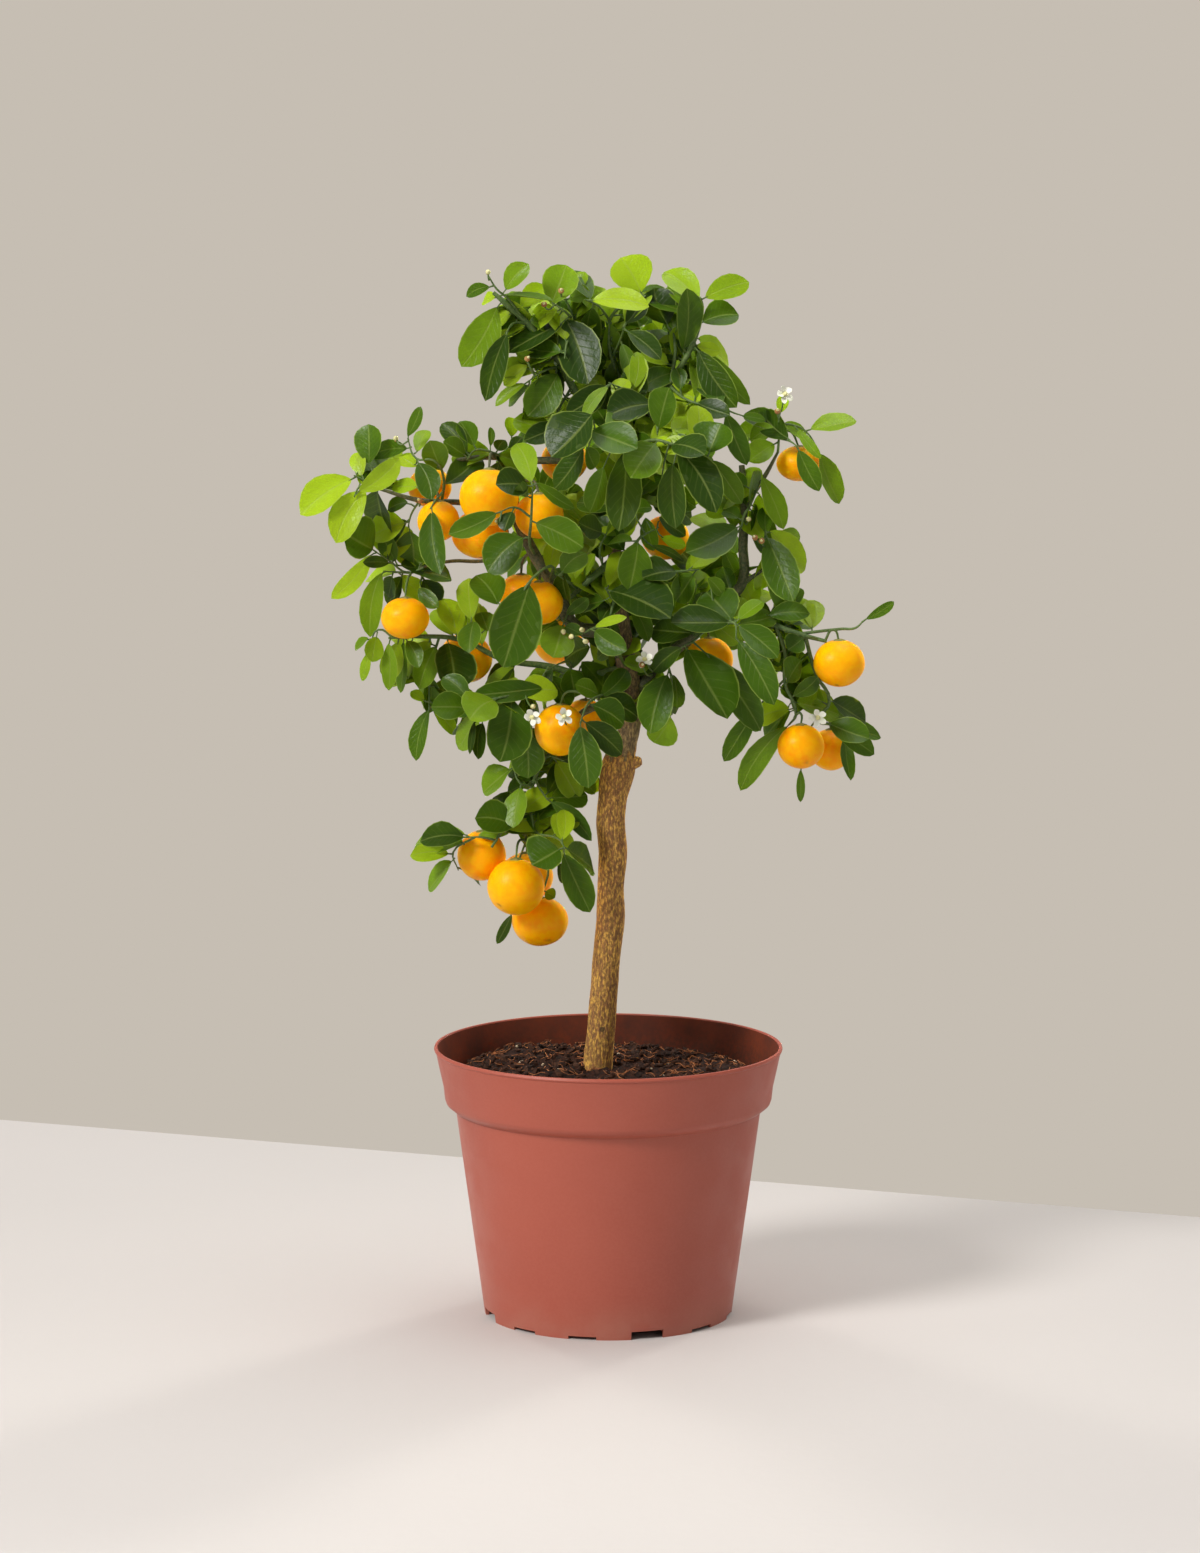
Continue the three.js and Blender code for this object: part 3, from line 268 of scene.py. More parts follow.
# ---------------------------------------------------------------- the nursery pot
# A thin moulded pot of terracotta-coloured plastic: a tapered wall, a wide collar, and a small rolled lip.
# Its profile is spun round, and the drainage notches are cut out of the foot ring.
RIM = 0.105
FOOT = 0.075
POT_TALL = 0.1633
COLLAR = 0.038
WALL = 0.0016
FOOT_LIFT = 0.003
PAD = 0.022
POT_TURNS = 144
NOTCH_COUNT = 12
POT_LIT = (0.385, 0.084, 0.050, 1)
POT_DEEP = (0.325, 0.066, 0.040, 1)
POT_INSIDE_SHADE = (0.130, 0.024, 0.008, 1)

shoulder = POT_TALL - COLLAR
low = RIM - 0.013
pot_line = [
    (0, 0), (PAD, 0), (PAD + 0.001, FOOT_LIFT), (FOOT - 0.002, FOOT_LIFT), (FOOT - 0.0018, 0), (FOOT, 0),
    (FOOT + 0.0042, 0.031), (FOOT + 0.0085, 0.0625), (FOOT + 0.0128, 0.094),
    (low, shoulder), (low + 0.0022, shoulder + 0.0012), (RIM - 0.0072, shoulder + 0.0042),
    (RIM - 0.0064, shoulder + 0.0065), (RIM - 0.0056, shoulder + 0.014), (RIM - 0.0034, shoulder + 0.024),
    (RIM - 0.001, POT_TALL - 0.0026), (RIM - 0.0002, POT_TALL - 0.0020), (RIM, POT_TALL - 0.0013),
    (RIM - 0.0004, POT_TALL - 0.0002), (RIM - 0.0010, POT_TALL), (RIM - WALL - 0.0002, POT_TALL - 0.0001),
    (RIM - WALL - 0.0006, POT_TALL - 0.0008), (RIM - 0.0056 - WALL, shoulder + 0.014),
    (RIM - 0.0068 - WALL, shoulder + 0.006), (low - WALL, shoulder + 0.001),
    (FOOT - WALL, FOOT_LIFT + WALL), (PAD - 0.0006, FOOT_LIFT + WALL), (PAD - 0.0016, WALL), (0, WALL),
]
pot = shell("nursery_pot", [(r, 0, z) for r, z in pot_line], [])
pot.data.edges.add(len(pot_line) - 1)
for index, edge in enumerate(pot.data.edges):
    edge.vertices = (index, index + 1)
bpy.ops.object.mode_set(mode="EDIT")
bpy.ops.mesh.select_all(action="SELECT")
bpy.ops.mesh.spin(steps=POT_TURNS, angle=2 * math.pi, center=(0, 0, 0), axis=(0, 0, 1))
bpy.ops.object.mode_set(mode="OBJECT")
turn_outwards(2e-6)

cutter_points, cutter_faces = [], []
for index in range(NOTCH_COUNT):
    tall = index % 3 == 0
    wide, high = (0.020, 0.005) if tall else (0.017, 0.002)
    reach = 0.008 if tall else 0.004
    turn = math.radians(18 + 360 / NOTCH_COUNT * index)
    first = len(cutter_points)
    for x in (-wide / 2, wide / 2):
        for y in (-FOOT - 0.001 - reach, -FOOT - 0.001 + reach):
            for z in (-0.002, high):
                cutter_points.append((x * math.cos(turn) - y * math.sin(turn),
                                      x * math.sin(turn) + y * math.cos(turn), z))
    for face in ((0, 1, 3, 2), (4, 6, 7, 5), (0, 4, 5, 1), (2, 3, 7, 6), (0, 2, 6, 4), (1, 5, 7, 3)):
        cutter_faces.append([first + k for k in face])
cutter = shell("notch_cutter", cutter_points, cutter_faces)
select_only(pot)
notches = pot.modifiers.new("notches", "BOOLEAN")
notches.object = cutter
notches.operation = "DIFFERENCE"
bpy.ops.object.modifier_apply(modifier=notches.name)
bpy.data.objects.remove(cutter)
bpy.ops.object.shade_smooth_by_angle(angle=math.radians(32))

pot_finish, tree, shader = finish_for("terracotta_plastic", 0.42)
broad, _ = mottle_in(tree, POT_LIT, POT_DEEP, 9.0, 0.45)
specks, _ = mottle_in(tree, broad, (0.45, 0.12, 0.080, 1), 620.0, 0.10)
soft = mix_in(tree, 0.10, broad, specks)
place = place_in(tree)
parts = node_in(tree, "SeparateXYZ", [(0, place)])
_, dust_mask = mottle_in(tree, (0, 0, 0, 1), (1, 1, 1, 1), 46.0, 0.28)
foot_dust = math_in(tree, "MULTIPLY", ramp_in(tree, parts.outputs["Z"], 0.03, 0.0), dust_mask)
tree.links.new(mix_in(tree, math_in(tree, "MULTIPLY", foot_dust, 0.5), soft, (0.40, 0.17, 0.12, 1)),
               shader.inputs["Base Color"])
tree.links.new(ramp_in(tree, dust_mask, 0.0, 1.0, 0.38, 0.52), shader.inputs["Roughness"])
rings = node_in(tree, "TexWave", [("Vector", place), ("Scale", 190.0), ("Distortion", 0.6), ("Detail", 1.0)],
                wave_type="BANDS", bands_direction="Z").outputs["Fac"]
under = bump_in(tree, shader, rings, 0.00003, 0.35)
bump_in(tree, shader, grain_in(tree, 1300.0), 0.00002, 0.4, under)
pot.data.materials.append(pot_finish)
# Inner wall above the soil: painted shade, a dark red-brown in place of the shade inside the pot, with dark
# specks that thicken further down as deeper painted shade towards the soil.
inside_shade_finish, tree, shader = finish_for("terracotta_plastic_painted_shade", 0.7)
shader.inputs["Specular IOR Level"].default_value = 0.2
shaded_wall, _ = mottle_in(tree, POT_INSIDE_SHADE, (0.075, 0.018, 0.009, 1), 60.0, 0.3)
crumbs_and_deeper_shade, _ = mottle_in(tree, shaded_wall, (0.04, 0.018, 0.010, 1), 380.0, 0.08)
height = node_in(tree, "SeparateXYZ", [(0, place_in(tree))]).outputs["Z"]
tree.links.new(mix_in(tree, ramp_in(tree, height, POT_TALL - 0.002, shoulder, 0.12, 0.9), shaded_wall, crumbs_and_deeper_shade),
               shader.inputs["Base Color"])
bump_in(tree, shader, grain_in(tree, 700.0), 0.00012, 0.5)
pot.data.materials.append(inside_shade_finish)
# The inward faces of the upper wall take the painted shade finish.
for face in pot.data.polygons:
    inward = face.center.x * face.normal.x + face.center.y * face.normal.y < -0.02
    if inward and face.center.z > 0.1 and face.center.z < POT_TALL - 0.0009:
        face.material_index = 1
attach(pot, "root")
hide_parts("pot")

# ---------------------------------------------------------------- the potting mix
# Damp dark peat with bits of bark, reddish fibres and pale grit, heaped a little at the left rear.
# The top is a round heap of rough rings, closed below as a plug that fills the pot.
SOIL_TOP = 0.1463
PLUG_FLOOR = FOOT_LIFT + WALL + 0.0003
MOUND = (-0.030, 0.024)
SOIL_RIM = low - WALL - 0.0006


def soil_height(x, y):
    """How high the heap stands at a spot: the broad mound, and lumps of three sizes."""
    away = math.hypot(x, y) / 0.0965
    heap = SOIL_TOP + 0.0070 * max(0, 1 - math.hypot(x - MOUND[0], y - MOUND[1]) / 0.075)
    drop = -0.0075 * max(0, (away - 0.86) / 0.14) ** 1.5
    lumps = 0.0036 * noise.noise(Vector((x * 62, y * 62, 1.7)))
    lumps += 0.0024 * noise.noise(Vector((x * 150, y * 150, 4.1)))
    lumps += 0.0009 * noise.noise(Vector((x * 420, y * 420, 8.3)))
    return heap + drop + lumps * (1.15 - 0.5 * away)


def ring_faces(rings, turns):
    """Faces of a closed body: a top point, its rings of points downwards, and a bottom point."""
    faces = [(0, 1 + k, 1 + (k + 1) % turns) for k in range(turns)]
    for ring in range(rings - 1):
        a, b = 1 + ring * turns, 1 + (ring + 1) * turns
        faces += [(a + k, b + k, b + (k + 1) % turns, a + (k + 1) % turns) for k in range(turns)]
    last = 1 + (rings - 1) * turns
    return faces + [(last + turns, last + (k + 1) % turns, last + k) for k in range(turns)]


SOIL_TURNS = 200
soil_rings = [0.0035 + 0.0935 * (k / 46) ** 0.96 for k in range(47)]
points = [(0, 0, soil_height(0, 0))]
for r in soil_rings:
    for k in range(SOIL_TURNS):
        a = 2 * math.pi * k / SOIL_TURNS
        x, y = r * math.cos(a), r * math.sin(a)
        points.append((x, y, soil_height(x, y)))
for r, z in ((SOIL_RIM + 0.0045, SOIL_TOP - 0.011), (SOIL_RIM, shoulder), (FOOT - WALL - 0.0006, PLUG_FLOOR)):
    points += [(r * math.cos(2 * math.pi * k / SOIL_TURNS), r * math.sin(2 * math.pi * k / SOIL_TURNS), z)
               for k in range(SOIL_TURNS)]
points.append((0, 0, PLUG_FLOOR))
soil = shell("potting_mix", points, ring_faces(len(soil_rings) + 3, SOIL_TURNS))
bpy.ops.object.shade_smooth_by_angle(angle=math.radians(50))

soil_finish, tree, shader = finish_for("damp_peat", 0.92)
dark, _ = mottle_in(tree, (0.005, 0.0023, 0.0013, 1), (0.0155, 0.0064, 0.0034, 1), 120.0, 0.25)
reddish, _ = mottle_in(tree, dark, (0.060, 0.0175, 0.008, 1), 480.0, 0.10)
shader.inputs["Specular IOR Level"].default_value = 0.3
half_red = mix_in(tree, 0.55, dark, reddish)
crumb = node_in(tree, "TexVoronoi", [("Vector", place_in(tree)), ("Scale", 420.0)])
tree.links.new(mix_in(tree, ramp_in(tree, crumb.outputs["Distance"], 0.12, 0.02, 0.0, 0.22), half_red,
                      (0.16, 0.090, 0.050, 1)), shader.inputs["Base Color"])
under = bump_in(tree, shader, crumb.outputs["Distance"], 0.0012, 0.9)
bump_in(tree, shader, grain_in(tree, 260.0), 0.0016, 0.9, under)
soil.data.materials.append(soil_finish)
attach(soil, "root")
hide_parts("potting_soil")

# ---------------------------------------------------------------- bits on the soil
# Chips of composted bark, curly coir fibres and a little pale grit lie loose on the peat.
# One rough chip is shaped and its copies are strewn over the heap; each fibre is a bent strand of its own.
CHIP_COUNT, GRIT_COUNT, FIBRE_COUNT = 900, 60, 320


def chip_shape():
    """A rough splinter: a cube split once and rounded a little; returns points and faces."""
    bpy.ops.object.select_all(action="DESELECT")
    bpy.ops.mesh.primitive_cube_add(size=1)
    lump = bpy.context.object
    bpy.ops.object.mode_set(mode="EDIT")
    bpy.ops.mesh.subdivide(number_cuts=1, smoothness=0.45)
    bpy.ops.object.mode_set(mode="OBJECT")
    corners = np.array([v.co for v in lump.data.vertices])
    sides = [list(f.vertices) for f in lump.data.polygons]
    bpy.data.objects.remove(lump)
    return corners, sides


def strewn(name, count, long, thick, high, seed):
    """Copies of the chip at random sizes and turns on the heap, as one piece."""
    draw = random.Random(seed)
    corners, sides = chip_shape()
    all_points, all_faces = [], []
    for _ in range(count):
        r, a = 0.092 * math.sqrt(draw.uniform(0.02, 1)), draw.uniform(0, 2 * math.pi)
        x, y = r * math.cos(a), r * math.sin(a)
        size = np.array([draw.uniform(*long), draw.uniform(*thick), draw.uniform(*high)])
        turn = draw.uniform(0, 2 * math.pi)
        tilt = draw.uniform(-0.9, 0.9)
        pulled = np.array([[draw.uniform(-1, 1) for _ in range(3)] for _ in corners])
        bent = corners * (1 + 0.25 * pulled) * size
        ct, st, cr, sr = math.cos(turn), math.sin(turn), math.cos(tilt), math.sin(tilt)
        lean = np.stack([bent[:, 0] * cr - bent[:, 2] * sr, bent[:, 1], bent[:, 0] * sr + bent[:, 2] * cr], 1)
        spun = np.stack([lean[:, 0] * ct - lean[:, 1] * st, lean[:, 0] * st + lean[:, 1] * ct, lean[:, 2]], 1)
        first = len(all_points)
        all_points += list(spun + np.array([x, y, soil_height(x, y) + size[2] * 0.25]))
        all_faces += [[first + k for k in side] for side in sides]
    return shell(name, all_points, all_faces)


def bits_finish(name, first, second):
    made, shader = plain_finish(name, 0.85, (first, second), 260.0, 0.22, (1400.0, 0.5), 0.0002, 0.6)
    shader.inputs["Specular IOR Level"].default_value = 0.3
    return made


chips = strewn("soil_bark_chips", CHIP_COUNT, (0.0016, 0.0058), (0.0011, 0.0028), (0.0009, 0.0024), 3)
chips.data.materials.append(
    bits_finish("composted_bark", (0.0065, 0.0030, 0.0017, 1), (0.068, 0.025, 0.011, 1)))
grit = strewn("soil_pale_grit", GRIT_COUNT, (0.0009, 0.0022), (0.0009, 0.0018), (0.0007, 0.0014), 4)
grit.data.materials.append(bits_finish("pale_grit", (0.34, 0.25, 0.16, 1), (0.62, 0.52, 0.38, 1)))


def tubes(name, runs, sides=2, steps=3):
    """Round stems along smooth lines, as one mesh; each run is (points, radii)."""
    line = bpy.data.curves.new(name, "CURVE")
    line.dimensions = "3D"
    line.bevel_depth = 1.0
    line.bevel_resolution = sides
    line.resolution_u = steps
    line.use_fill_caps = True
    for points, radii in runs:
        spline = line.splines.new("BEZIER")
        spline.bezier_points.add(len(points) - 1)
        for knot, spot, radius in zip(spline.bezier_points, points, radii):
            knot.co = spot
            knot.radius = radius
            knot.handle_left_type = knot.handle_right_type = "AUTO"
    made = bpy.data.objects.new(name, line)
    bpy.context.scene.collection.objects.link(made)
    select_only(made)
    bpy.ops.object.convert(target="MESH")
    made = bpy.context.object
    turn_outwards(1e-6)
    bpy.ops.object.shade_smooth_by_angle(angle=math.radians(55))
    return made


draw = random.Random(5)
runs = []
for _ in range(FIBRE_COUNT):
    r, a = 0.088 * math.sqrt(draw.uniform(0.02, 1)), draw.uniform(0, 2 * math.pi)
    heading = draw.uniform(0, 2 * math.pi)
    x, y = r * math.cos(a), r * math.sin(a)
    strand = []
    for step in range(4):
        strand.append((x, y, soil_height(x, y) + 0.0007 + draw.uniform(0, 0.0020)))
        heading += draw.uniform(-0.7, 0.7)
        reach = draw.uniform(0.0018, 0.0040)
        x, y = x + reach * math.cos(heading), y + reach * math.sin(heading)
        if math.hypot(x, y) > 0.093:
            x, y = x * 0.9, y * 0.9
    runs.append((strand, [draw.uniform(0.00014, 0.00028)] * 4))
fibres = tubes("soil_coir_fibres", runs, 0, 2)
fibres.data.materials.append(bits_finish("coir_fibre", (0.120, 0.036, 0.013, 1), (0.50, 0.190, 0.070, 1)))
for piece in (chips, grit, fibres):
    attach(piece, "root")

# ---------------------------------------------------------------- the trunk
# A slender grafted stem: smooth grey-brown bark above the graft swelling, tan and fissured below it.
# It leans a little, wanders, and ends at the top in a pale cut where the leader was pruned.
VIEW_OFF, VIEW_UP = 2.8, 0.709
NEAR_DEPTH, FAR_DEPTH = 1.7, 0.85
TRUNK_LINE = [
    (-9, 112, 0, 15), (-6.6, 147, 0, 17.6), (-3.4, 185, 0, 16.6), (-0.8, 220, 0, 16.5), (1.4, 240, 0, 17),
    (1.4, 260, 0, 16), (2.7, 280, 0, 16.9), (1.5, 298, 0, 17.4), (2.4, 312, 0, 17), (5.4, 330, 0, 20.5),
    (7.3, 337, 0, 19.6), (9, 343, 0, 15.5), (11, 350, 0, 13.4), (14.4, 365, 0, 11.6), (12.5, 385, 0, 13),
    (9.5, 402, 0, 11.5), (8.5, 418, 1, 9), (4, 445, 2, 8), (4, 465, 2, 7.6), (6, 485, 2, 7),
    (13, 512, 3, 6.6), (20, 538, 4, 6.4), (19, 560, 4, 5.6), (17.4, 575, 4, 4.6),
]
KNOT_LINE = [(9, 333.5, 0, 9), (12, 334, -1, 9), (17, 335.5, -2, 7), (19.6, 336, -2.4, 4.4)]


def place_of(across, up, deep=0.0):
    """Where a spot of the crown's layout is; the layout is in mm as seen from VIEW_OFF in front."""
    far = deep / 1000 * (NEAR_DEPTH if deep < 0 else FAR_DEPTH)
    grow = (VIEW_OFF + far) / VIEW_OFF
    return Vector((across / 1000 * grow, far, VIEW_UP + (up / 1000 - VIEW_UP) * grow))


def smooth_line(spots, values, steps):
    """More points on a smooth line through the spots, with the values carried along."""
    line, carried = [], []
    for i in range(len(spots) - 1):
        p0, p1 = spots[max(i - 1, 0)], spots[i]
        p2, p3 = spots[i + 1], spots[min(i + 2, len(spots) - 1)]
        for k in range(steps):
            t = k / steps
            line.append(0.5 * (2 * p1 + (p2 - p0) * t + (2 * p0 - 5 * p1 + 4 * p2 - p3) * t * t
                               + (3 * p1 - p0 - 3 * p2 + p3) * t ** 3))
            carried.append(values[i] + (values[i + 1] - values[i]) * (t * t * (3 - 2 * t)))
    return line + [spots[-1]], carried + [values[-1]]


def barked_stem(name, rows, steps, turns, rough):
    """A closed stem with ridged bark; rough is the ridges' share of the radius."""
    spots, radii = smooth_line([place_of(*row[:3]) for row in rows], [row[3] / 2000 for row in rows], steps)
    points, faces = [], []
    for i, (spot, radius) in enumerate(zip(spots, radii)):
        ahead = (spots[min(i + 1, len(spots) - 1)] - spots[max(i - 1, 0)]).normalized()
        across = ahead.cross(Vector((0, 1, 0))).normalized()
        away = across.cross(ahead)
        for k in range(turns):
            a = 2 * math.pi * k / turns
            out = across * math.cos(a) + away * math.sin(a)
            up = (spot + out * radius).z
            ridge = noise.noise(Vector((math.cos(a) * 3.2, math.sin(a) * 3.2, up * 55)))
            ridge += 0.5 * noise.noise(Vector((math.cos(a) * 8, math.sin(a) * 8, up * 170)))
            points.append(spot + out * radius * (1 + rough * ridge))
    for i in range(len(spots) - 1):
        a, b = i * turns, (i + 1) * turns
        faces += [(a + k, a + (k + 1) % turns, b + (k + 1) % turns, b + k) for k in range(turns)]
    points += [spots[0], spots[-1]]
    end = len(points) - 1
    last = (len(spots) - 1) * turns
    faces += [((k + 1) % turns, k, end - 1) for k in range(turns)]
    faces += [(last + k, last + (k + 1) % turns, end) for k in range(turns)]
    made = shell(name, points, faces)
    turn_outwards()
    bpy.ops.object.shade_smooth_by_angle(angle=math.radians(60))
    return made


# A dark spot of painted shade on the low trunk, standing in for a small hole in the bark.
HOLE_SHADE_SPOT = (-0.0036, -0.0086, 0.1745)
HOLE_SHADE_DARK = (0.035, 0.018, 0.009, 1)


def bark_finish(name, first, second, fleck, crack, fissures):
    """Bark: long uneven patches, bright flecks, dark upright cracks and a small spot of painted shade where a
    hole would be.
    """
    made, tree, shader = finish_for(name, 0.8)
    long_patch, _ = mottle_in(tree, first, second, 48.0, 0.30, 0.25)
    flecked, _ = mottle_in(tree, long_patch, fleck, 620.0, 0.07, 0.42)
    pitted, _ = mottle_in(tree, flecked, crack, 880.0, 0.06, 0.55)
    blend_one = mix_in(tree, 0.50, mix_in(tree, 0.62, long_patch, flecked), pitted)
    links = [(0, place_in(tree)), (1, (1.0, 1.0, 0.14))]
    spot = node_in(tree, "VectorMath", links, operation="MULTIPLY").outputs[0]
    split = node_in(tree, "TexVoronoi", [("Vector", spot), ("Scale", 470.0)], feature="DISTANCE_TO_EDGE")
    crack_mask = ramp_in(tree, split.outputs["Distance"], 0.10, 0.0, 0.0, fissures)
    # Painted shade: the bark turns dark in a small spot, in place of the shade in a hole.
    links = [(0, place_in(tree)), (1, HOLE_SHADE_SPOT)]
    hole_shade_away = node_in(tree, "VectorMath", links, operation="DISTANCE").outputs["Value"]
    hole_shade_mask = ramp_in(tree, hole_shade_away, 0.0021, 0.0012, 0.0, 0.85)
    cracked = mix_in(tree, crack_mask, blend_one, crack)
    tree.links.new(mix_in(tree, hole_shade_mask, cracked, HOLE_SHADE_DARK), shader.inputs["Base Color"])
    raised = math_in(tree, "ADD", math_in(tree, "MULTIPLY", split.outputs["Distance"], 1.6),
                     math_in(tree, "MULTIPLY", grain_in(tree, 640.0, 0.42), 0.5))
    under = bump_in(tree, shader, raised, 0.0007, 0.8 * fissures + 0.2)
    bump_in(tree, shader, grain_in(tree, 700.0, 0.35), 0.0004, 0.8, under)
    return made


low_bark = bark_finish("trunk_bark", (0.385, 0.182, 0.050, 1), (0.280, 0.126, 0.034, 1),
                       (0.72, 0.41, 0.07, 1), (0.080, 0.036, 0.014, 1), 0.50)
high_bark = bark_finish("upper_bark", (0.210, 0.140, 0.058, 1), (0.125, 0.082, 0.034, 1),
                        (0.33, 0.23, 0.085, 1), (0.035, 0.025, 0.016, 1), 0.4)
pruned_wood, _ = plain_finish("pruned_wood", 0.75, ((0.62, 0.47, 0.29, 1), (0.42, 0.29, 0.16, 1)), 900.0, 0.25,
                              (2200.0,), 0.0001, 0.5)

TRUNK_TURNS = 36
trunk = barked_stem("trunk_stem", TRUNK_LINE, 8, TRUNK_TURNS, 0.055)
for finish in (low_bark, high_bark, pruned_wood):
    trunk.data.materials.append(finish)
GRAFT_UP = 0.341
cut_end = trunk.data.polygons[len(trunk.data.polygons) - TRUNK_TURNS:]
for face in trunk.data.polygons:
    wander = 0.011 * noise.noise(Vector((face.center.x * 260, face.center.y * 260, 2.0)))
    face.material_index = 1 if face.center.z + wander > GRAFT_UP else 0
for face in cut_end:
    face.material_index = 2
knot = barked_stem("trunk_knot", KNOT_LINE, 4, 20, 0.06)
knot.data.materials.append(low_bark)
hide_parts("trunk")
for piece in (trunk, knot):
    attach(piece, "root")

# ---------------------------------------------------------------- fruits
# Small round oranges, softly glossy and finely pored, each with a green calyx where its stalk goes in
# and a small brown scar at the blossom end. Every calyx has the same shape, turned and set on its fruit.
# Each row: name, across, up, deep, width, height.
FRUITS = [
    ["fruit_left_end", -121, 422, -12, 28.6, 24.6],
    ["fruit_upper_left", -71, 494, -20, 35, 34],
    ["fruit_upper_left_low", -76, 472, -2, 34, 29],
    ["fruit_upper_mid", -41, 483, -14, 29, 27],
    ["fruit_mid_back", -52, 436, 12, 27, 25],
    ["fruit_mid", -41, 431, -16, 28, 26],
    ["fruit_mid_left", -85, 398, 16, 32, 30],
    ["fruit_by_trunk", -29, 355, -18, 30, 31],
    ["fruit_by_trunk_back", -14, 361, 34, 26, 25],
    ["fruit_low_a", -76, 279, -4, 29, 30],
    ["fruit_low_b", -55.5, 260, -15, 34, 34],
    ["fruit_low_c", -49, 266, 16, 32, 30],
    ["fruit_low_d", -41, 239, -1, 34, 29.5],
    ["fruit_right_low_a", 115, 345, -12, 28, 26.6],
    ["fruit_right_low_b", 133, 343, 8, 26, 25],
    ["fruit_right_arm", 137.5, 395, -14, 30.5, 28],
    ["fruit_right_top", 113, 514, 2, 27, 21],
    ["fruit_right_mid", 60, 397, 6, 29, 27],
    ["fruit_left_back_a", -106, 500, 14, 26, 24],
    ["fruit_left_back_b", -101, 480, -10, 25, 24],
    ["fruit_centre_back", -26, 516, 32, 28, 26],
    ["fruit_rear_high", 34, 470, 84, 29, 27],
    ["fruit_rear_low", -30, 408, 86, 30, 28],
]
NAVELS = {
    "fruit_low_b": (-0.55, -0.6, -0.58), "fruit_right_low_a": (0.2, -0.75, -0.62),
    "fruit_low_d": (0.3, -0.7, -0.65), "fruit_upper_left": (-0.3, -0.55, -0.78),
    "fruit_right_arm": (-0.1, -0.45, -0.88),
}
FRUIT_ROWS, FRUIT_TURNS = 26, 40


def rind_finish():
    made, tree, shader = finish_for("orange_rind", 0.40)
    broad, _ = mottle_in(tree, (1.0, 0.440, 0.0, 1), (1.0, 0.310, 0.0, 1), 42.0, 0.30)
    fine, _ = mottle_in(tree, broad, (1.0, 0.54, 0.0, 1), 260.0, 0.16)
    skin = mix_in(tree, 0.5, broad, fine)
    pores = node_in(tree, "TexVoronoi", [("Vector", place_in(tree)), ("Scale", 950.0)])
    pore_mask = ramp_in(tree, pores.outputs["Distance"], 0.30, 0.05, 0.0, 0.30)
    pored = mix_in(tree, pore_mask, skin, (0.98, 0.28, 0.0, 1))
    marks = node_in(tree, "Attribute", attribute_name="marks").outputs["Color"]
    parts = node_in(tree, "SeparateColor", [(0, marks)])
    green = mix_in(tree, parts.outputs["Red"], pored, (0.42, 0.36, 0.02, 1))
    scarred = mix_in(tree, parts.outputs["Green"], green, (0.10, 0.055, 0.02, 1))
    tree.links.new(scarred, shader.inputs["Base Color"])
    shader.inputs["Specular IOR Level"].default_value = 0.10
    shader.inputs["Subsurface Weight"].default_value = 0.45
    shader.inputs["Subsurface Radius"].default_value = (1.0, 0.35, 0.08)
    shader.inputs["Subsurface Scale"].default_value = 0.010
    shader.inputs["Coat Weight"].default_value = 0.035
    shader.inputs["Coat Roughness"].default_value = 0.22
    hollow = ramp_in(tree, pores.outputs["Distance"], 0.0, 0.32)
    under = bump_in(tree, shader, hollow, 0.00014, 0.55)
    bump_in(tree, shader, grain_in(tree, 170.0), 0.0006, 0.25, under)
    return made


def fruit_shape(name, middle, wide, high, navel, seed):
    """A ball a little flat at both ends, dimpled at the stalk and at the blossom scar."""
    draw = random.Random(seed)
    shift = Vector([draw.uniform(0, 9) for _ in range(3)])
    points, marks = [], []
    navel = Vector(navel).normalized()

    def skin(out):
        lean = 1 + 0.018 * noise.noise(out * 1.6 + shift)
        top = math.exp(-((1 - out.z) / 0.020))
        scar = math.exp(-((1 - out.dot(navel)) / 0.006))
        depth = 1 - 0.055 * top - 0.020 * scar
        green = 0.30 * math.exp(-((1 - out.z) / 0.05))
        brown = 0.9 * math.exp(-((1 - out.dot(navel)) / 0.0022))
        marks.append((min(1, green), min(1, brown), 0, 1))
        points.append(middle + Vector((out.x * wide / 2, out.y * wide / 2, out.z * high / 2)) * lean * depth)

    skin(Vector((0, 0, 1)))
    for row in range(1, FRUIT_ROWS):
        b = math.pi * row / FRUIT_ROWS
        for k in range(FRUIT_TURNS):
            a = 2 * math.pi * k / FRUIT_TURNS
            skin(Vector((math.sin(b) * math.cos(a), math.sin(b) * math.sin(a), math.cos(b))))
    skin(Vector((0, 0, -1)))
    made = shell(name, points, ring_faces(FRUIT_ROWS - 1, FRUIT_TURNS))
    paint = made.data.color_attributes.new("marks", "FLOAT_COLOR", "POINT")
    paint.data.foreach_set("color", np.array(marks, np.float32).ravel())
    bpy.ops.object.shade_smooth()
    return made


CALYX_RADIUS = 0.0036
CALYX_TURNS = 30
CALYX_LINE = ((0.42, 0.0008), (0.75, 0.0003), (1.0, -0.0005), (0.9, -0.0011), (0.4, -0.0007))


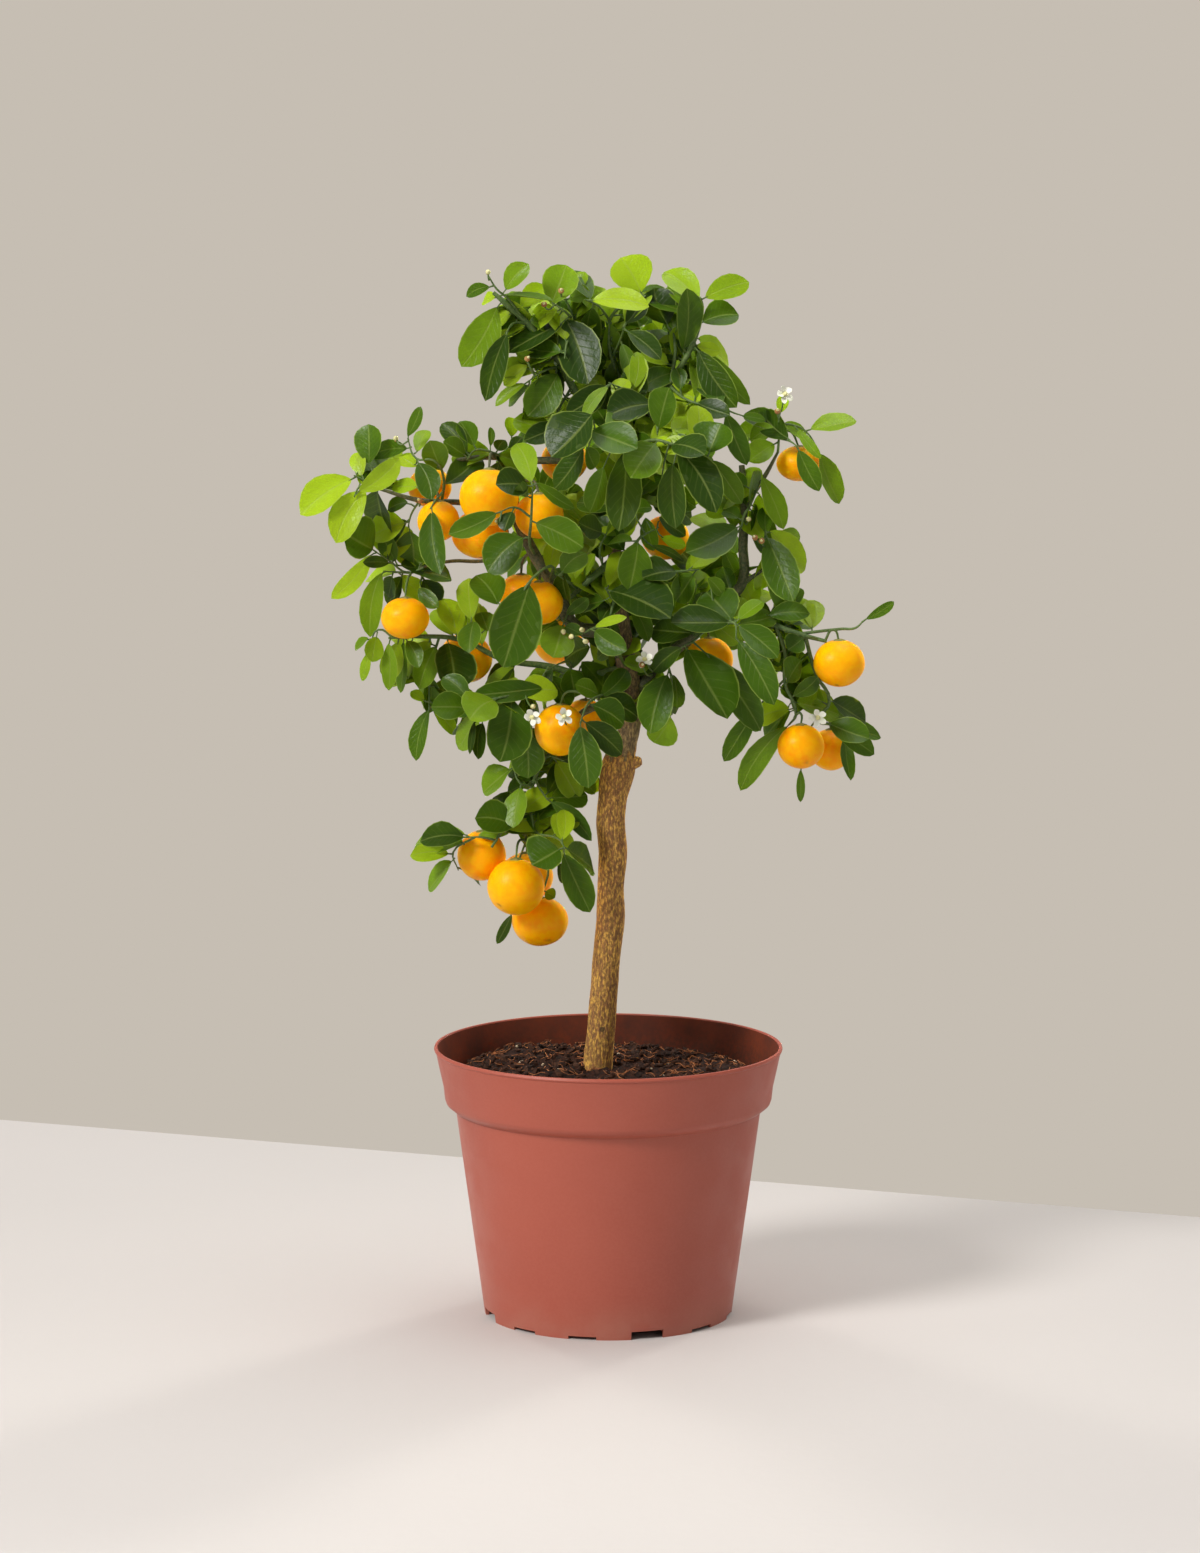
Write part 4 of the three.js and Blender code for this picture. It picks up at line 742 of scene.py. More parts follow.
def calyx_shape(name, middle, radius, turn):
    """A five-lobed green cup on the fruit's crown, round the stalk."""
    points = [middle + Vector((0, 0, 0.0009))]
    for reach, up in CALYX_LINE:
        for k in range(CALYX_TURNS):
            a = 2 * math.pi * k / CALYX_TURNS + turn
            lobe = 1 + (0.22 * math.cos(5 * a) if reach > 0.7 else 0)
            out = Vector((math.cos(a), math.sin(a), 0)) * radius * reach * lobe
            points.append(middle + out + Vector((0, 0, up)))
    points.append(middle + Vector((0, 0, -0.0006)))
    made = shell(name, points, ring_faces(len(CALYX_LINE), CALYX_TURNS))
    bpy.ops.object.shade_smooth_by_angle(angle=math.radians(50))
    return made


orange_rind = rind_finish()
calyx_green, _ = plain_finish("calyx_green", 0.6, ((0.16, 0.20, 0.035, 1), (0.28, 0.22, 0.06, 1)), 500.0, 0.2,
                              (1800.0,), 0.0002, 0.5)

fruit_tops = {}
for index, (name, across, up, deep, wide, high) in enumerate(FRUITS):
    middle = place_of(across, up, deep)
    wide, high = wide / 1000, high / 1000
    turn = 2.4 * index
    navel = NAVELS.get(name, (0.35 * math.cos(turn), 0.35 * math.sin(turn), -0.9))
    fruit = fruit_shape(name.replace("fruit_", "orange_"), middle, wide, high, navel, index)
    fruit.data.materials.append(orange_rind)
    fruit_tops[name] = (middle, high)
    crown = middle + Vector((0, 0, high / 2 - 0.0004))
    calyx = calyx_shape(name.replace("fruit_", "calyx_"), crown, CALYX_RADIUS, turn)
    calyx.data.materials.append(calyx_green)
    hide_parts(name)
    for piece, kind in ((fruit, "rind"), (calyx, "green_wood")):
        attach(piece, "root")

# ---------------------------------------------------------------- the limbs
# Bare wood of two or three years, green-brown and a little rough, carrying the leafy shoots.
# Each limb is its main stem with the stalks of the fruits that hang from it.
# Each row: name, then stems: [first width, last width, [across, up, deep], ...].
LIMBS = [
    ["limb_left", [
        [9, 6.2, [10, 398, 0], [-4, 413, -3], [-20, 417, -5], [-30, 438, -6], [-44, 460, -6], [-56, 490, 0],
            [-51.5, 517, 7]],
        [4.6, 3.4, [-28, 516, 9], [-50, 516, 7], [-70, 518, 4], [-90, 516, 0]],
        [4, 2.6, [-57, 488, 0], [-89, 491, -2], [-111, 492, -4], [-136, 499, -8]],
        [2.8, 2, [-49, 468, -5], [-60, 459, 14], [-76, 456, 24], [-93, 456, 16], [-112, 452, 2]],
        [2, 1.8, [-54, 502, 3], [-45, 504, -6], "fruit_upper_mid"],
        [2, 1.8, [-68, 518, 4], [-70, 519, -12], "fruit_upper_left"],
        [2, 1.8, [-86, 490.8, -2], [-79, 493, -2], "fruit_upper_left_low"],
        [2, 1.8, [-106, 491.6, -3], [-102, 497, -8], "fruit_left_back_b"],
        [2, 1.8, [-36, 446, -6], [-40, 451, -12], "fruit_mid"],
        [2, 1.8, [-45, 462, -5], [-51, 456, 6], "fruit_mid_back"],
    ]],
    ["limb_hanging", [
        [5.6, 3.2, [10, 372, 0], [-14, 366, 8], [-32, 348, 8]],
        [2, 1.8, [-4, 368, 4], [-10, 382, 24], "fruit_by_trunk_back"],
    ]],
    ["limb_right", [
        [8, 5, [14, 376, 0], [22, 383, 0], [39, 402, 0], [51, 412, -2], [71, 433, -4], [79.5, 443, -4],
            [80, 466, -3], [81, 491, -2], [79, 513, 0]],
        [3.6, 2.6, [79, 442, -4], [92, 451, -6]],
        [3.4, 2.2, [81, 489, -2], [93, 507, -4], [100.5, 521, -6]],
        [2, 1.8, [51, 412, -2], [58, 417, 4], "fruit_right_mid"],
    ]],
]


def spot_of(row):
    """A stem's point; a fruit's name stands for the crown of that fruit."""
    if isinstance(row, str):
        middle, high = fruit_tops[row]
        return middle + Vector((0, 0, high / 2 - 0.0012))
    return place_of(*row)


def stem_runs(stems, slim=1.0):
    """Each stem's points and radii; slim is the share of its layout width."""
    runs = []
    for first, last, *rows in stems:
        spots = [spot_of(row) for row in rows]
        radii = [slim * (first + (last - first) * k / (len(spots) - 1)) / 2000 for k in range(len(spots))]
        radii[-1] *= 0.7
        runs.append((spots, radii))
    return runs


def wood_finish(name, first, second, fleck):
    made, tree, shader = finish_for(name, 0.62)
    broad, _ = mottle_in(tree, first, second, 70.0, 0.25, 0.6)
    flecked, _ = mottle_in(tree, broad, fleck, 650.0, 0.10)
    tree.links.new(mix_in(tree, 0.5, broad, flecked), shader.inputs["Base Color"])
    bump_in(tree, shader, grain_in(tree, 900.0), 0.0004, 0.6)
    return made


limb_wood = wood_finish("limb_wood", (0.080, 0.084, 0.034, 1), (0.046, 0.066, 0.020, 1),
                        (0.17, 0.15, 0.070, 1))
twig_green = wood_finish("twig_green", (0.040, 0.088, 0.016, 1), (0.085, 0.150, 0.026, 1),
                         (0.15, 0.20, 0.055, 1))
for name, stems in LIMBS:
    limb = tubes(name.replace("limb_", "bare_limb_"), stem_runs(stems), 4, 6)
    limb.data.materials.append(limb_wood)
    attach(limb, "root")
    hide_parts(name)

# ---------------------------------------------------------------- shoots and leaves
# Green twigs with leathery evergreen leaves, glossy above: a pale midrib, faint side veins and a thin light
# margin. One blade is laid out flat and copied for each leaf, then folded, waved and drooped along its line.
# Each row: name, stems as in the limbs, then leaves as [base across, base up, tip across, tip up, width,
# tip's depth, tone]. Tone runs from 0, a deep green that is partly painted shade, to 3, a yellow-green that is
# partly young leaves and partly painted backlight.
SHOOTS = [
    ["branch_top_left", [
        [6, 4.2, [7, 522, 2], [-20, 557, 2], [-28, 573, 0], [-38.5, 586, -2], [-50, 599, -4], [-59, 607, -6],
            [-68, 615, -6]],
        [2.8, 2, [-24, 563, 1], [-21, 600, 4], [-28, 615, 4]],
        [2, 1.4, [-50, 599, -4], [-60, 612, -12], [-66, 617, -14], [-71, 625, -14]],
        [2, 1.4, [-46, 596, -3], [-56, 597, -8], [-60, 592, -12]],
        [2, 1.4, [-21, 599, 4], [-26, 604, -8], [-33, 609, -10]],
        [2, 1.2, [-22, 588, 3], [-25, 584, -10], [-26, 576, -14]],
        [2, 1.2, [-27, 572, 0], [-40, 568, -8], [-48, 562, -6]],
        [2, 1.4, [-22, 559, 2], [-30, 545, -4], [-35, 532, -4]],
        [2, 1.8, [-9, 541, 2], [-20, 540, 22], "fruit_centre_back"],
    ], [
        [-61, 616, -47, 634, 12, -2, 2], [-66, 613, -33, 614, 6, -14, 1], [-69, 618, -84, 614, 7, -3, 1],
        [-66, 606, -87, 575, 20, -8, 2], [-57, 596, -76, 576, 10, 4, 3], [-60, 592, -73, 555, 14, -12, 0],
        [-64, 613, -74, 611, 7, 6, 3], [-25, 599, -12, 565, 25, -14, 0], [-27, 597, -60, 583, 15, -8, 0],
        [-27, 575, -55, 582, 7, -6, 2], [-34, 608, -25, 634, 20, 6, 2], [-20, 613, -14, 629, 9, 6, 2],
        [-24, 611, -11, 617, 9, -6, 2], [-30, 567, -48, 545, 20, -6, 1], [-46, 580, -60, 564, 8, 4, 0],
        [-48, 572, -62, 562, 9, 10, 3], [-48, 562, -67, 550, 6, 0, 2], [-47, 560, -59, 551, 8, 10, 1],
        [-35, 531, -56, 543, 14, 4, 2], [-28, 536, -50, 530, 12, -8, 0],
    ]],
    ["branch_top_right", [
        [5, 3, [19, 536, 4], [30, 548, 0], [37, 562, -2], [49.5, 584, -4], [55, 606, -4], [54, 612, -7]],
        [3, 2.2, [37, 562, -2], [39, 588, 2], [33, 598, 8]],
        [3.2, 2.2, [27, 545, 1.5], [19, 552, 12], [8, 563, 11], [0, 593, 7], [4, 604, 6], [12, 608, 4],
            [22, 613, 4]],
        [2, 1.2, [1, 598, 6], [-6, 607, -4], [-14, 611, -8]],
        [2, 1.2, [3, 578, 8], [8, 590, -4], [9, 595, -8]],
        [2.6, 1.4, [36, 560, -2], [48, 551, -12], [70, 546, -16]],
    ], [
        [22, 613, 7, 638, 24, 4, 3], [-14, 611, 24, 610, 12, -6, 3], [9, 595, 31, 578, 11, -6, 0],
        [4, 601, 18, 603, 9, 6, 1], [-2, 592, -12, 603, 8, 6, 1], [6, 588, 14, 566, 9, -4, 1],
        [-1, 584, -9, 570, 9, 8, 0], [35, 593, 27, 620, 21, 6, 0], [34, 598, 38, 621, 12, 10, 2],
        [44, 581, 46, 622, 15, -10, 1], [55, 611, 83, 624, 14, 4, 2], [55, 596, 77, 604, 15, 2, 1],
        [53, 581, 76, 551, 17, -8, 0], [55, 582, 84, 553, 11, 8, 1], [52, 584, 66, 582, 8, 4, 3],
        [46, 574, 64, 558, 15, 14, 2], [50, 550, 72, 545, 11, -8, 0], [70, 545, 82, 516, 12, -4, 1],
        [37, 549, 57, 539, 10, 6, 0], [79, 542, 93, 541, 5, 4, 1], [44, 556, 40, 572, 9, 4, 1],
    ]],
    ["shoot_leader_top", [
        [2.6, 1.4, [20, 546, 4], [28, 540, -18], [29, 531, -26]],
        [2.2, 1.4, [25, 542, -10], [12, 556, -12], [0, 562, -14]],
    ], [
        [29, 531, 36, 562, 16, -6, 1], [26, 549, -1, 545, 17, -12, 0], [0, 561, -25, 546, 15, -6, 0],
        [1, 562, -15, 543, 7, -14, 2], [3, 553, 12, 565, 10, 2, 3], [14, 557, 17, 583, 10, 8, 2],
    ]],
    ["shoot_centre", [
        [2.8, 1.6, [14, 517, 3], [18, 524, -22], [28, 528, -34], [39, 525, -36], [60, 517, -34]],
        [2.2, 1.4, [17, 522, -16], [0, 530, -30], [-9, 535, -38]],
    ], [
        [29, 527, 13, 508, 21, -10, 1], [10, 523, 6, 478, 20, -6, 0], [-10, 533, 17, 526, 17, -12, 1],
        [-10, 543, -34, 521, 23, -6, 0], [-3, 512, -11, 488, 13, 12, 1], [-15, 523, -32, 502, 14, 10, 0],
        [-13, 524, -8, 513, 9, 10, 1], [39, 524, 64, 489, 20, -10, 0], [38, 514, 40, 479, 16, 0, 0],
        [31, 508, 38, 482, 7, 6, 3], [36, 526, 57, 522, 13, -14, 0], [60, 517, 67, 540, 22, 2, 1],
        [61, 516, 79, 493, 12, 2, 1], [54, 528, 40, 538, 12, 14, 2],
    ]],
    ["shoot_right_outer", [
        [2.2, 1.4, [81, 485, -2], [84, 489, -10], [90, 503, -12]],
        [2, 1.4, [83.5, 488, -9], [80, 482, -14], [79, 477, -14], [72, 470, -2], [67, 463, 6]],
    ], [
        [86, 488, 86, 512, 13, -6, 1], [91, 506, 104, 478, 12, -4, 2], [90, 496, 92, 475, 10, 10, 3],
        [79, 477, 46, 465, 18, -14, 1], [79, 480, 68, 487, 8, 6, 1], [66, 462, 46, 452, 11, 6, 3],
        [70, 463, 76, 450, 9, 2, 1], [82, 500, 70, 508, 10, 12, 1],
    ]],
    ["shoot_right_drop", [
        [2.2, 1.4, [92, 451, -6], [94, 466, -12], [93, 474, -14]],
    ], [
        [93, 474, 110, 436, 20, -12, 1], [92, 469, 107, 427, 15, 4, 1], [96, 474, 117, 454, 15, 10, 3],
    ]],
    ["shoot_right_top", [
        [2, 1.4, [100.4, 520.6, -6], [101, 530, -6], [101, 545, -6]],
        [1.8, 1.2, [101, 538, -6], [112, 536, -4], [117, 533, -4], [125, 521, -6]],
        [1.8, 1.2, [101, 529, -6], [108, 527, -14], [112, 524, -19]],
        [2, 1.8, [101, 530, -6], [108, 533, 0], "fruit_right_top"],
    ], [
        [117, 534, 147, 542, 12, 2, 2], [110, 537, 126, 519, 6, -6, 2], [125, 520, 137, 493, 12, 2, 2],
        [112, 524, 125, 500, 11, -4, 1], [100, 536, 84, 529, 11, 4, 2], [99, 527, 83, 517, 13, -4, 2],
        [101, 538, 118, 531, 9, 8, 2], [100, 541, 104, 556, 7, 0, 3],
    ]],
    ["shoot_right_low", [
        [2.4, 1.4, [50, 411, -2], [62, 416, -20], [75, 419, -28], [76, 409, -30]],
        [2.2, 1.4, [56, 413.5, -11], [50, 408, -20], [44, 405, -22]],
        [1.8, 1.4, [50, 408, -20], [60, 399, -24]],
    ], [
        [74, 419, 37, 423, 15, -8, 0], [73, 421, 58, 440, 22, 8, 1], [76, 419, 92, 434, 8, 4, 2],
        [59, 446, 68, 437, 8, 10, 1], [76, 419, 101, 401, 14, -6, 1], [75, 409, 99, 374, 17, -10, 1],
        [45, 405, 71, 366, 24, -12, 1], [61, 397, 91, 359, 18, 2, 1],
    ]],
    ["shoot_right_inner", [
        [2.2, 1.4, [31, 392, 0], [36, 392, -12], [38, 378, -10], [38, 364, -4]],
    ], [
        [37, 391, 25, 356, 20, -6, 1], [37, 363, 27, 349, 18, 4, 2], [39, 388, 41, 370, 10, 6, 1],
        [24, 393, 9, 397, 8, 4, 2],
    ]],
    ["branch_right_arm", [
        [4.6, 3.6, [73, 433, -4], [83, 426, -6], [99, 418, -9], [113, 412.6, -12], [130, 408, -14]],
        [2.4, 1.4, [114, 412.6, -12], [139, 415.5, -14], [147, 416, -15], [152, 420.4, -15]],
        [3, 2, [100, 417, -9], [105.5, 400, -10], [105, 384, -10], [112, 364, -10], [108, 358, -8]],
        [3, 2.2, [117, 412, -12], [124, 388, -12], [132, 372, -10], [126, 361, -10], [132, 358, -16]],
        [1.8, 1.2, [91, 422, -8], [94, 424, -12]],
        [1.6, 1.2, [126, 409.6, -13], [118, 411, -17]],
        [2, 1.2, [105, 385, -10], [95, 375, -4], [88, 367, 0]],
        [2, 1.8, [129, 408.3, -14], [134, 415, -14], "fruit_right_arm"],
        [1.6, 1.2, [126, 362, -10], [120, 354, 2], [115.5, 332, 2]],
        [2, 1.8, [112, 364, -10], [114.6, 365, -11], "fruit_right_low_a"],
        [2, 1.8, [127, 362, -10], [131, 364, 4], "fruit_right_low_b"],
    ], [
        [93, 423, 120, 427, 11, -4, 1], [88, 419, 106, 413, 7, 6, 2], [118, 411, 107, 404, 12, -3, 1],
        [106, 382, 115, 399, 11, -8, 1], [110, 374, 125, 389, 10, -6, 1], [88, 366, 69, 339, 12, 0, 1],
        [108, 358, 79, 323, 14, 6, 1], [152, 420, 170, 434, 6, 2, 1], [122, 396, 110, 392, 7, 8, 1],
        [129, 359, 156, 352, 13, -6, 1], [131, 357, 159, 343, 12, 2, 1], [132, 360, 163, 353, 9, 8, 1],
        [115, 331, 115, 313, 5, 0, 1], [142, 351, 145, 327, 8, 8, 1], [123, 366, 110, 374, 9, 10, 1],
    ]],
    ["shoot_mid_right", [
        [2.6, 1.4, [4, 452, 2], [12, 462, -14], [19, 471, -22]],
        [2.2, 1.4, [8, 457, -6], [24, 450, -14], [43, 450, -20], [54, 451, -18]],
        [2, 1.2, [14, 464.5, -16], [22, 472, -2], [30, 476, 6]],
    ], [
        [19, 471, 12, 441, 20, -6, 1], [22, 482, 27, 464, 10, 4, 1], [30, 482, 46, 473, 9, 4, 0],
        [31, 470, 46, 467, 7, 8, 3], [25, 465, 45, 458, 5, -4, 0], [14, 486, 26, 489, 8, 4, 1],
        [43, 450, 20, 448, 14, -6, 0], [54, 450, 40, 434, 14, 4, 1],
    ]],
    ["shoot_mid_front", [
        [2.6, 1.4, [8, 428, 1], [2, 434, -18], [-2, 440, -26]],
        [2.2, 1.2, [3.4, 432.6, -14], [-2, 418, -20], [-12, 415, -24]],
    ], [
        [-2, 440, 37, 426, 22, -14, 0], [14, 430, 24, 410, 10, 10, 1], [-12, 415, 11, 405, 14, -10, 1],
        [-12, 416, 11, 425, 5, -8, 3], [-3, 432, -17, 430, 9, 8, 1], [-16, 412, -26, 418, 7, 2, 1],
    ]],
    ["branch_cross", [
        [6, 3.6, [3, 457, 2], [-11, 445, -10], [-24, 433, -6]],
        [2, 1.2, [-18, 439, -8], [-26, 445, -20], [-31, 448, -24]],
        [2, 1.2, [-3, 452, -4], [-5, 464, -11], [-1, 473, -12]],
    ], [
        [-31, 448, -13, 463, 14, -6, 1], [-14, 447, -8, 462, 6, -4, 2], [-1, 473, -18, 481, 12, -6, 0],
        [-5, 468, -16, 463, 10, 12, 3], [-27, 449, -24, 434, 10, 4, 0], [-6, 452, 2, 440, 8, 8, 3],
    ]],
    ["shoot_left_inner", [
        [2.6, 1.6, [-44, 460, -6], [-47, 468, -24], [-46, 481, -33], [-45, 502, -32]],
        [1.8, 1.2, [-46, 482, -33], [-56, 488, -36], [-65, 485, -38]],
    ], [
        [-46, 502, -67, 504, 14, -10, 0], [-46, 480, -15, 467, 18, -4, 1], [-56, 488, -62, 475, 9, -4, 0],
        [-65, 485, -95, 475, 12, -4, 1], [-51, 470, -72, 452, 21, -2, 1], [-43, 503, -20, 490, 7, 6, 1],
        [-48, 494, -53, 504, 7, -4, 1],
    ]],
    ["shoot_left_front", [
        [2.4, 1.4, [-35, 443, -6], [-34, 453, -22], [-45, 446, -32], [-56, 432, -31], [-64, 430, -26]],
    ], [
        [-45, 444, -63, 397, 29, -6, 1], [-66, 430, -79, 450, 18, 8, 1],
    ]],
    ["shoot_left_fork", [
        [2, 1.4, [-21, 418, -5], [-27, 421, -14]],
    ], [
        [-27, 421, -33, 400, 20, -2, 2], [-28, 409, -46, 408, 5, -4, 3], [-25, 424, -12, 436, 8, -6, 1],
    ]],
    ["shoot_left_top", [
        [2, 1.2, [-62, 517, 5], [-70, 521, -3], [-79, 522, -4], [-84, 516, -7]],
        [1.8, 1.2, [-66, 519, 1], [-61, 522, 9], [-56, 528, 7]],
    ], [
        [-83, 515, -98, 529, 10, -4, 1], [-78, 523, -88, 541, 11, 4, 1], [-70, 522, -70, 537, 4, 0, 1],
        [-67, 520, -61, 529, 8, -4, 0], [-59, 520, -51, 531, 7, -6, 0], [-56, 528, -59, 543, 8, 4, 3],
        [-58, 520, -44, 524, 8, 10, 1],
    ]],
    ["shoot_left_arm", [
        [2.2, 1.4, [-99, 491, -3], [-98, 507, -10], [-104, 516, -14], [-114, 517, -13], [-119, 529, -11]],
        [1.6, 1.2, [-98.6, 497, -6], [-104, 490, -14], [-106, 487, -15]],
        [2, 1.8, [-101, 512, -12], [-105, 521, 6], "fruit_left_back_a"],
    ], [
        [-97, 508, -106, 530, 15, -4, 1], [-114, 515, -105, 495, 14, -8, 1], [-119, 530, -111, 550, 7, -2, 1],
        [-110, 524, -112, 534, 6, 6, 3], [-114, 512, -124, 520, 9, 6, 3], [-113, 500, -128, 503, 9, 14, 3],
        [-106, 487, -100, 452, 15, -8, 1],
    ]],
    ["shoot_left_arm_low", [
        [1.8, 1.2, [-112, 492, -4], [-117, 484, -2], [-119, 476, 2]],
    ], [
        [-119, 491, -131, 488, 8, 4, 1], [-120, 480, -141, 473, 17, 2, 3], [-118, 474, -116, 455, 20, 8, 1],
    ]],
    ["shoot_left_end", [
        [2.2, 1.4, [-135, 499, -8], [-143, 503, -8], [-151, 507, -9]],
        [1.8, 1.2, [-141, 502, -8], [-148, 500, -11], [-151, 494, -12]],
        [1.6, 1.2, [-141, 502, -8], [-140, 513, -6]],
    ], [
        [-151, 507, -183, 487, 18, -4, 3], [-150, 495, -124, 521, 13, -8, 3], [-142, 514, -142, 540, 16, 3, 1],
        [-144, 498, -162, 470, 18, -4, 3], [-134, 501, -138, 514, 11, 6, 1],
    ]],
    ["shoot_left_low_arm", [
        [2, 1.2, [-110, 452, 2], [-119, 449, 2], [-130, 456, -2], [-139, 462, -4]],
        [2, 1.8, [-117, 449.6, 2], [-120, 443, -8], "fruit_left_end"],
        [1.8, 1.2, [-119, 449, 2], [-134, 450, 2]],
        [1.8, 1.2, [-114, 450.6, 2], [-110, 446, 8]],
    ], [
        [-138, 463, -157, 475, 22, -4, 1], [-141, 460, -165, 437, 11, 4, 3], [-128, 454, -146, 457, 7, -6, 0],
        [-124, 455, -134, 472, 11, 4, 1], [-135, 449, -142, 414, 13, -4, 2], [-128, 450, -131, 436, 9, 8, 0],
        [-111, 448, -103, 430, 14, 6, 0], [-113, 440, -101, 430, 9, -4, 1],
    ]],
    ["branch_lower_left", [
        [6, 2.6, [9, 392, 0], [-14, 388, 4], [-35, 393, 6], [-62, 397, 4], [-88, 409, 0], [-111, 411, -4],
            [-131, 410, -8]],
        [2, 1.4, [-101, 410, -2], [-106, 392, 4], [-107, 368, 2]],
        [1.8, 1.2, [-128, 410, -8], [-137, 415, -8], [-142, 405, -6]],
        [1.8, 1.4, [-78, 405, 2], [-80, 414, -8], [-82, 420, -10]],
        [2, 1.8, [-80, 406, 2], [-84, 419, 10], "fruit_mid_left"],
        [2.8, 1.6, [-35, 393, 6], [-42, 384, -14], [-57, 376, -22], [-66, 374, -26], [-83, 370, -24]],
        [2, 1.4, [-22, 390, 5], [-24, 396, -8], [-37, 391, -20]],
        [2, 1.4, [-76, 372, -24], [-76, 360, -14]],
    ], [
        [-96, 408, -92, 381, 23, -10, 0], [-102, 408, -113, 382, 14, -2, 2], [-121, 409, -113, 394, 10, -8, 1],
        [-131, 407, -131, 381, 9, -2, 2], [-122, 408, -124, 380, 7, 6, 1], [-138, 414, -141, 397, 11, -4, 2],
        [-142, 402, -147, 386, 6, 4, 2], [-143, 410, -151, 404, 6, 2, 2], [-80, 420, -83, 403, 13, -8, 1],
        [-72, 414, -76, 427, 11, 6, 1], [-84, 421, -88, 434, 8, 2, 3], [-105, 390, -107, 367, 10, 8, 1],
        [-107, 367, -115, 339, 10, -2, 1], [-110, 372, -118, 379, 6, 3, 3], [-104, 366, -91, 354, 8, 6, 2],
        [-39, 380, -81, 380, 12, -12, 1], [-66, 374, -83, 363, 19, -10, 2], [-83, 372, -99, 389, 12, 6, 1],
        [-84, 368, -106, 371, 15, -6, 1], [-57, 374, -65, 339, 26, -10, 1], [-75, 359, -78, 340, 9, 4, 0],
        [-80, 360, -83, 343, 4, 2, 0], [-37, 390, -25, 370, 12, -10, 1], [-22, 395, -20, 376, 16, -2, 1],
        [-16, 396, 2, 375, 17, -8, 1],
    ]],
    ["shoot_by_trunk", [
        [2.6, 1.4, [11, 377, 0], [2, 377, -12], [-12, 371, -26], [-17, 359, -33]],
        [2, 1.8, [-8, 373, -22], [-24, 378, -22], "fruit_by_trunk"],
    ], [
        [-17, 357, -12, 323, 19, -4, 1], [-16, 361, 8, 343, 14, 6, 0], [-13, 372, 9, 360, 15, 4, 1],
        [-6, 376, -20, 384, 9, -6, 1],
    ]],
    ["shoot_hanging", [
        [3.2, 2.8, [-31, 349, 8], [-43, 328, 2], [-46.5, 317, 0]],
        [2, 1.2, [-44, 325, 1], [-40, 318, -4], [-36, 312, -6]],
        [2, 1.4, [-37, 338.6, 5], [-34, 339, 0], [-22, 333, 4]],
        [2, 1.4, [-45, 322, 1], [-53, 323, -6], [-57, 334, -2]],
        [2, 1.4, [-38, 337, 4.6], [-46, 352, -6]],
    ], [
        [-50, 353, -48, 328, 20, -4, 1], [-57, 334, -75, 319, 14, 4, 2], [-52, 324, -57, 298, 13, -8, 2],
        [-36, 312, -10, 291, 10, -6, 1], [-42, 327, -28, 310, 10, 8, 2], [-33, 338, -18, 315, 15, -2, 2],
        [-22, 333, -8, 318, 9, 2, 2],
    ]],
    ["shoot_low_fruit", [
        [2.8, 2.4, [-46.4, 317.6, 0], [-47.4, 308, -1], [-48, 303, 0], [-50, 284, 0]],
        [2.4, 2.2, [-47.4, 309, -1], [-46, 303, -5], [-43.5, 289, -8]],
        [2.8, 2.6, [-47.2, 306, -2], [-58, 301, -9], [-70, 284, -14.5]],
        [1.8, 1.2, [-67, 288, -13], [-76, 290, -15.5], [-85, 290, -15]],
        [1.8, 1.2, [-80, 290, -15], [-93, 281, -9], [-90, 270, -4]],
        [2, 1.4, [-44, 292, -7], [-30, 289, -18], [-26, 283, -26]],
        [2, 1.8, [-49.8, 288, -0.5], [-54, 287, -9], "fruit_low_b"],
        [2, 1.8, [-49.6, 289, 0], [-49, 292, 10], "fruit_low_c"],
        [1.8, 1.8, [-44, 291, -7], [-36, 272, -4], "fruit_low_d"],
        [1.8, 1.8, [-62, 296.8, -10.5], [-72, 298, -6], "fruit_low_a"],
        [1.6, 1.2, [-50, 286, 0], [-56, 268, -3], [-59, 244, -4]],
    ], [
        [-57, 297, -80, 304, 17, -6, 1], [-58, 296, -34, 299, 12, 12, 0], [-84, 290, -113, 290, 13, -2, 0],
        [-86, 292, -112, 292, 9, 6, 2], [-92, 280, -119, 281, 11, -2, 3], [-90, 278, -108, 260, 13, 4, 2],
        [-88, 271, -77, 263, 8, 8, 0], [-60, 292, -78, 293, 5, 8, 2], [-26, 282, -46, 275, 22, -4, 1],
        [-27, 284, -9, 273, 15, 10, 1], [-27, 280, -11, 248, 16, 2, 1], [-30, 274, -25, 264, 9, 10, 0],
        [-58, 243, -67, 227, 6, 0, 0], [-39, 258, -32, 254, 7, -4, 2],
    ]],
    ["branch_rear_high", [
        [3.4, 1.6, [6, 486, 2], [14, 492, 40], [30, 496, 78], [48, 506, 108]],
        [2.2, 1.4, [22, 494, 60], [10, 508, 84], [-8, 520, 104]],
        [2, 1.8, [30, 496, 78], [36, 494, 86], "fruit_rear_high"],
    ], [
        [18, 492, 30, 520, 18, 16, 1], [24, 494, 50, 482, 17, 10, 0], [38, 500, 62, 520, 18, 8, 1],
        [48, 506, 60, 530, 16, 14, 1], [48, 506, 70, 500, 15, 20, 2], [44, 504, 36, 526, 16, 16, 1],
        [14, 504, -2, 488, 17, 6, 0], [4, 511, 18, 530, 17, 10, 1], [-8, 520, -30, 516, 17, 12, 0],
        [-8, 520, -14, 542, 15, 16, 1], [-4, 517, 10, 505, 14, 18, 1], [12, 491, 4, 506, 14, 6, 1],
    ]],
    ["branch_rear_left", [
        [3.4, 1.6, [4, 466, 2], [-10, 474, 36], [-30, 482, 70], [-46, 494, 98]],
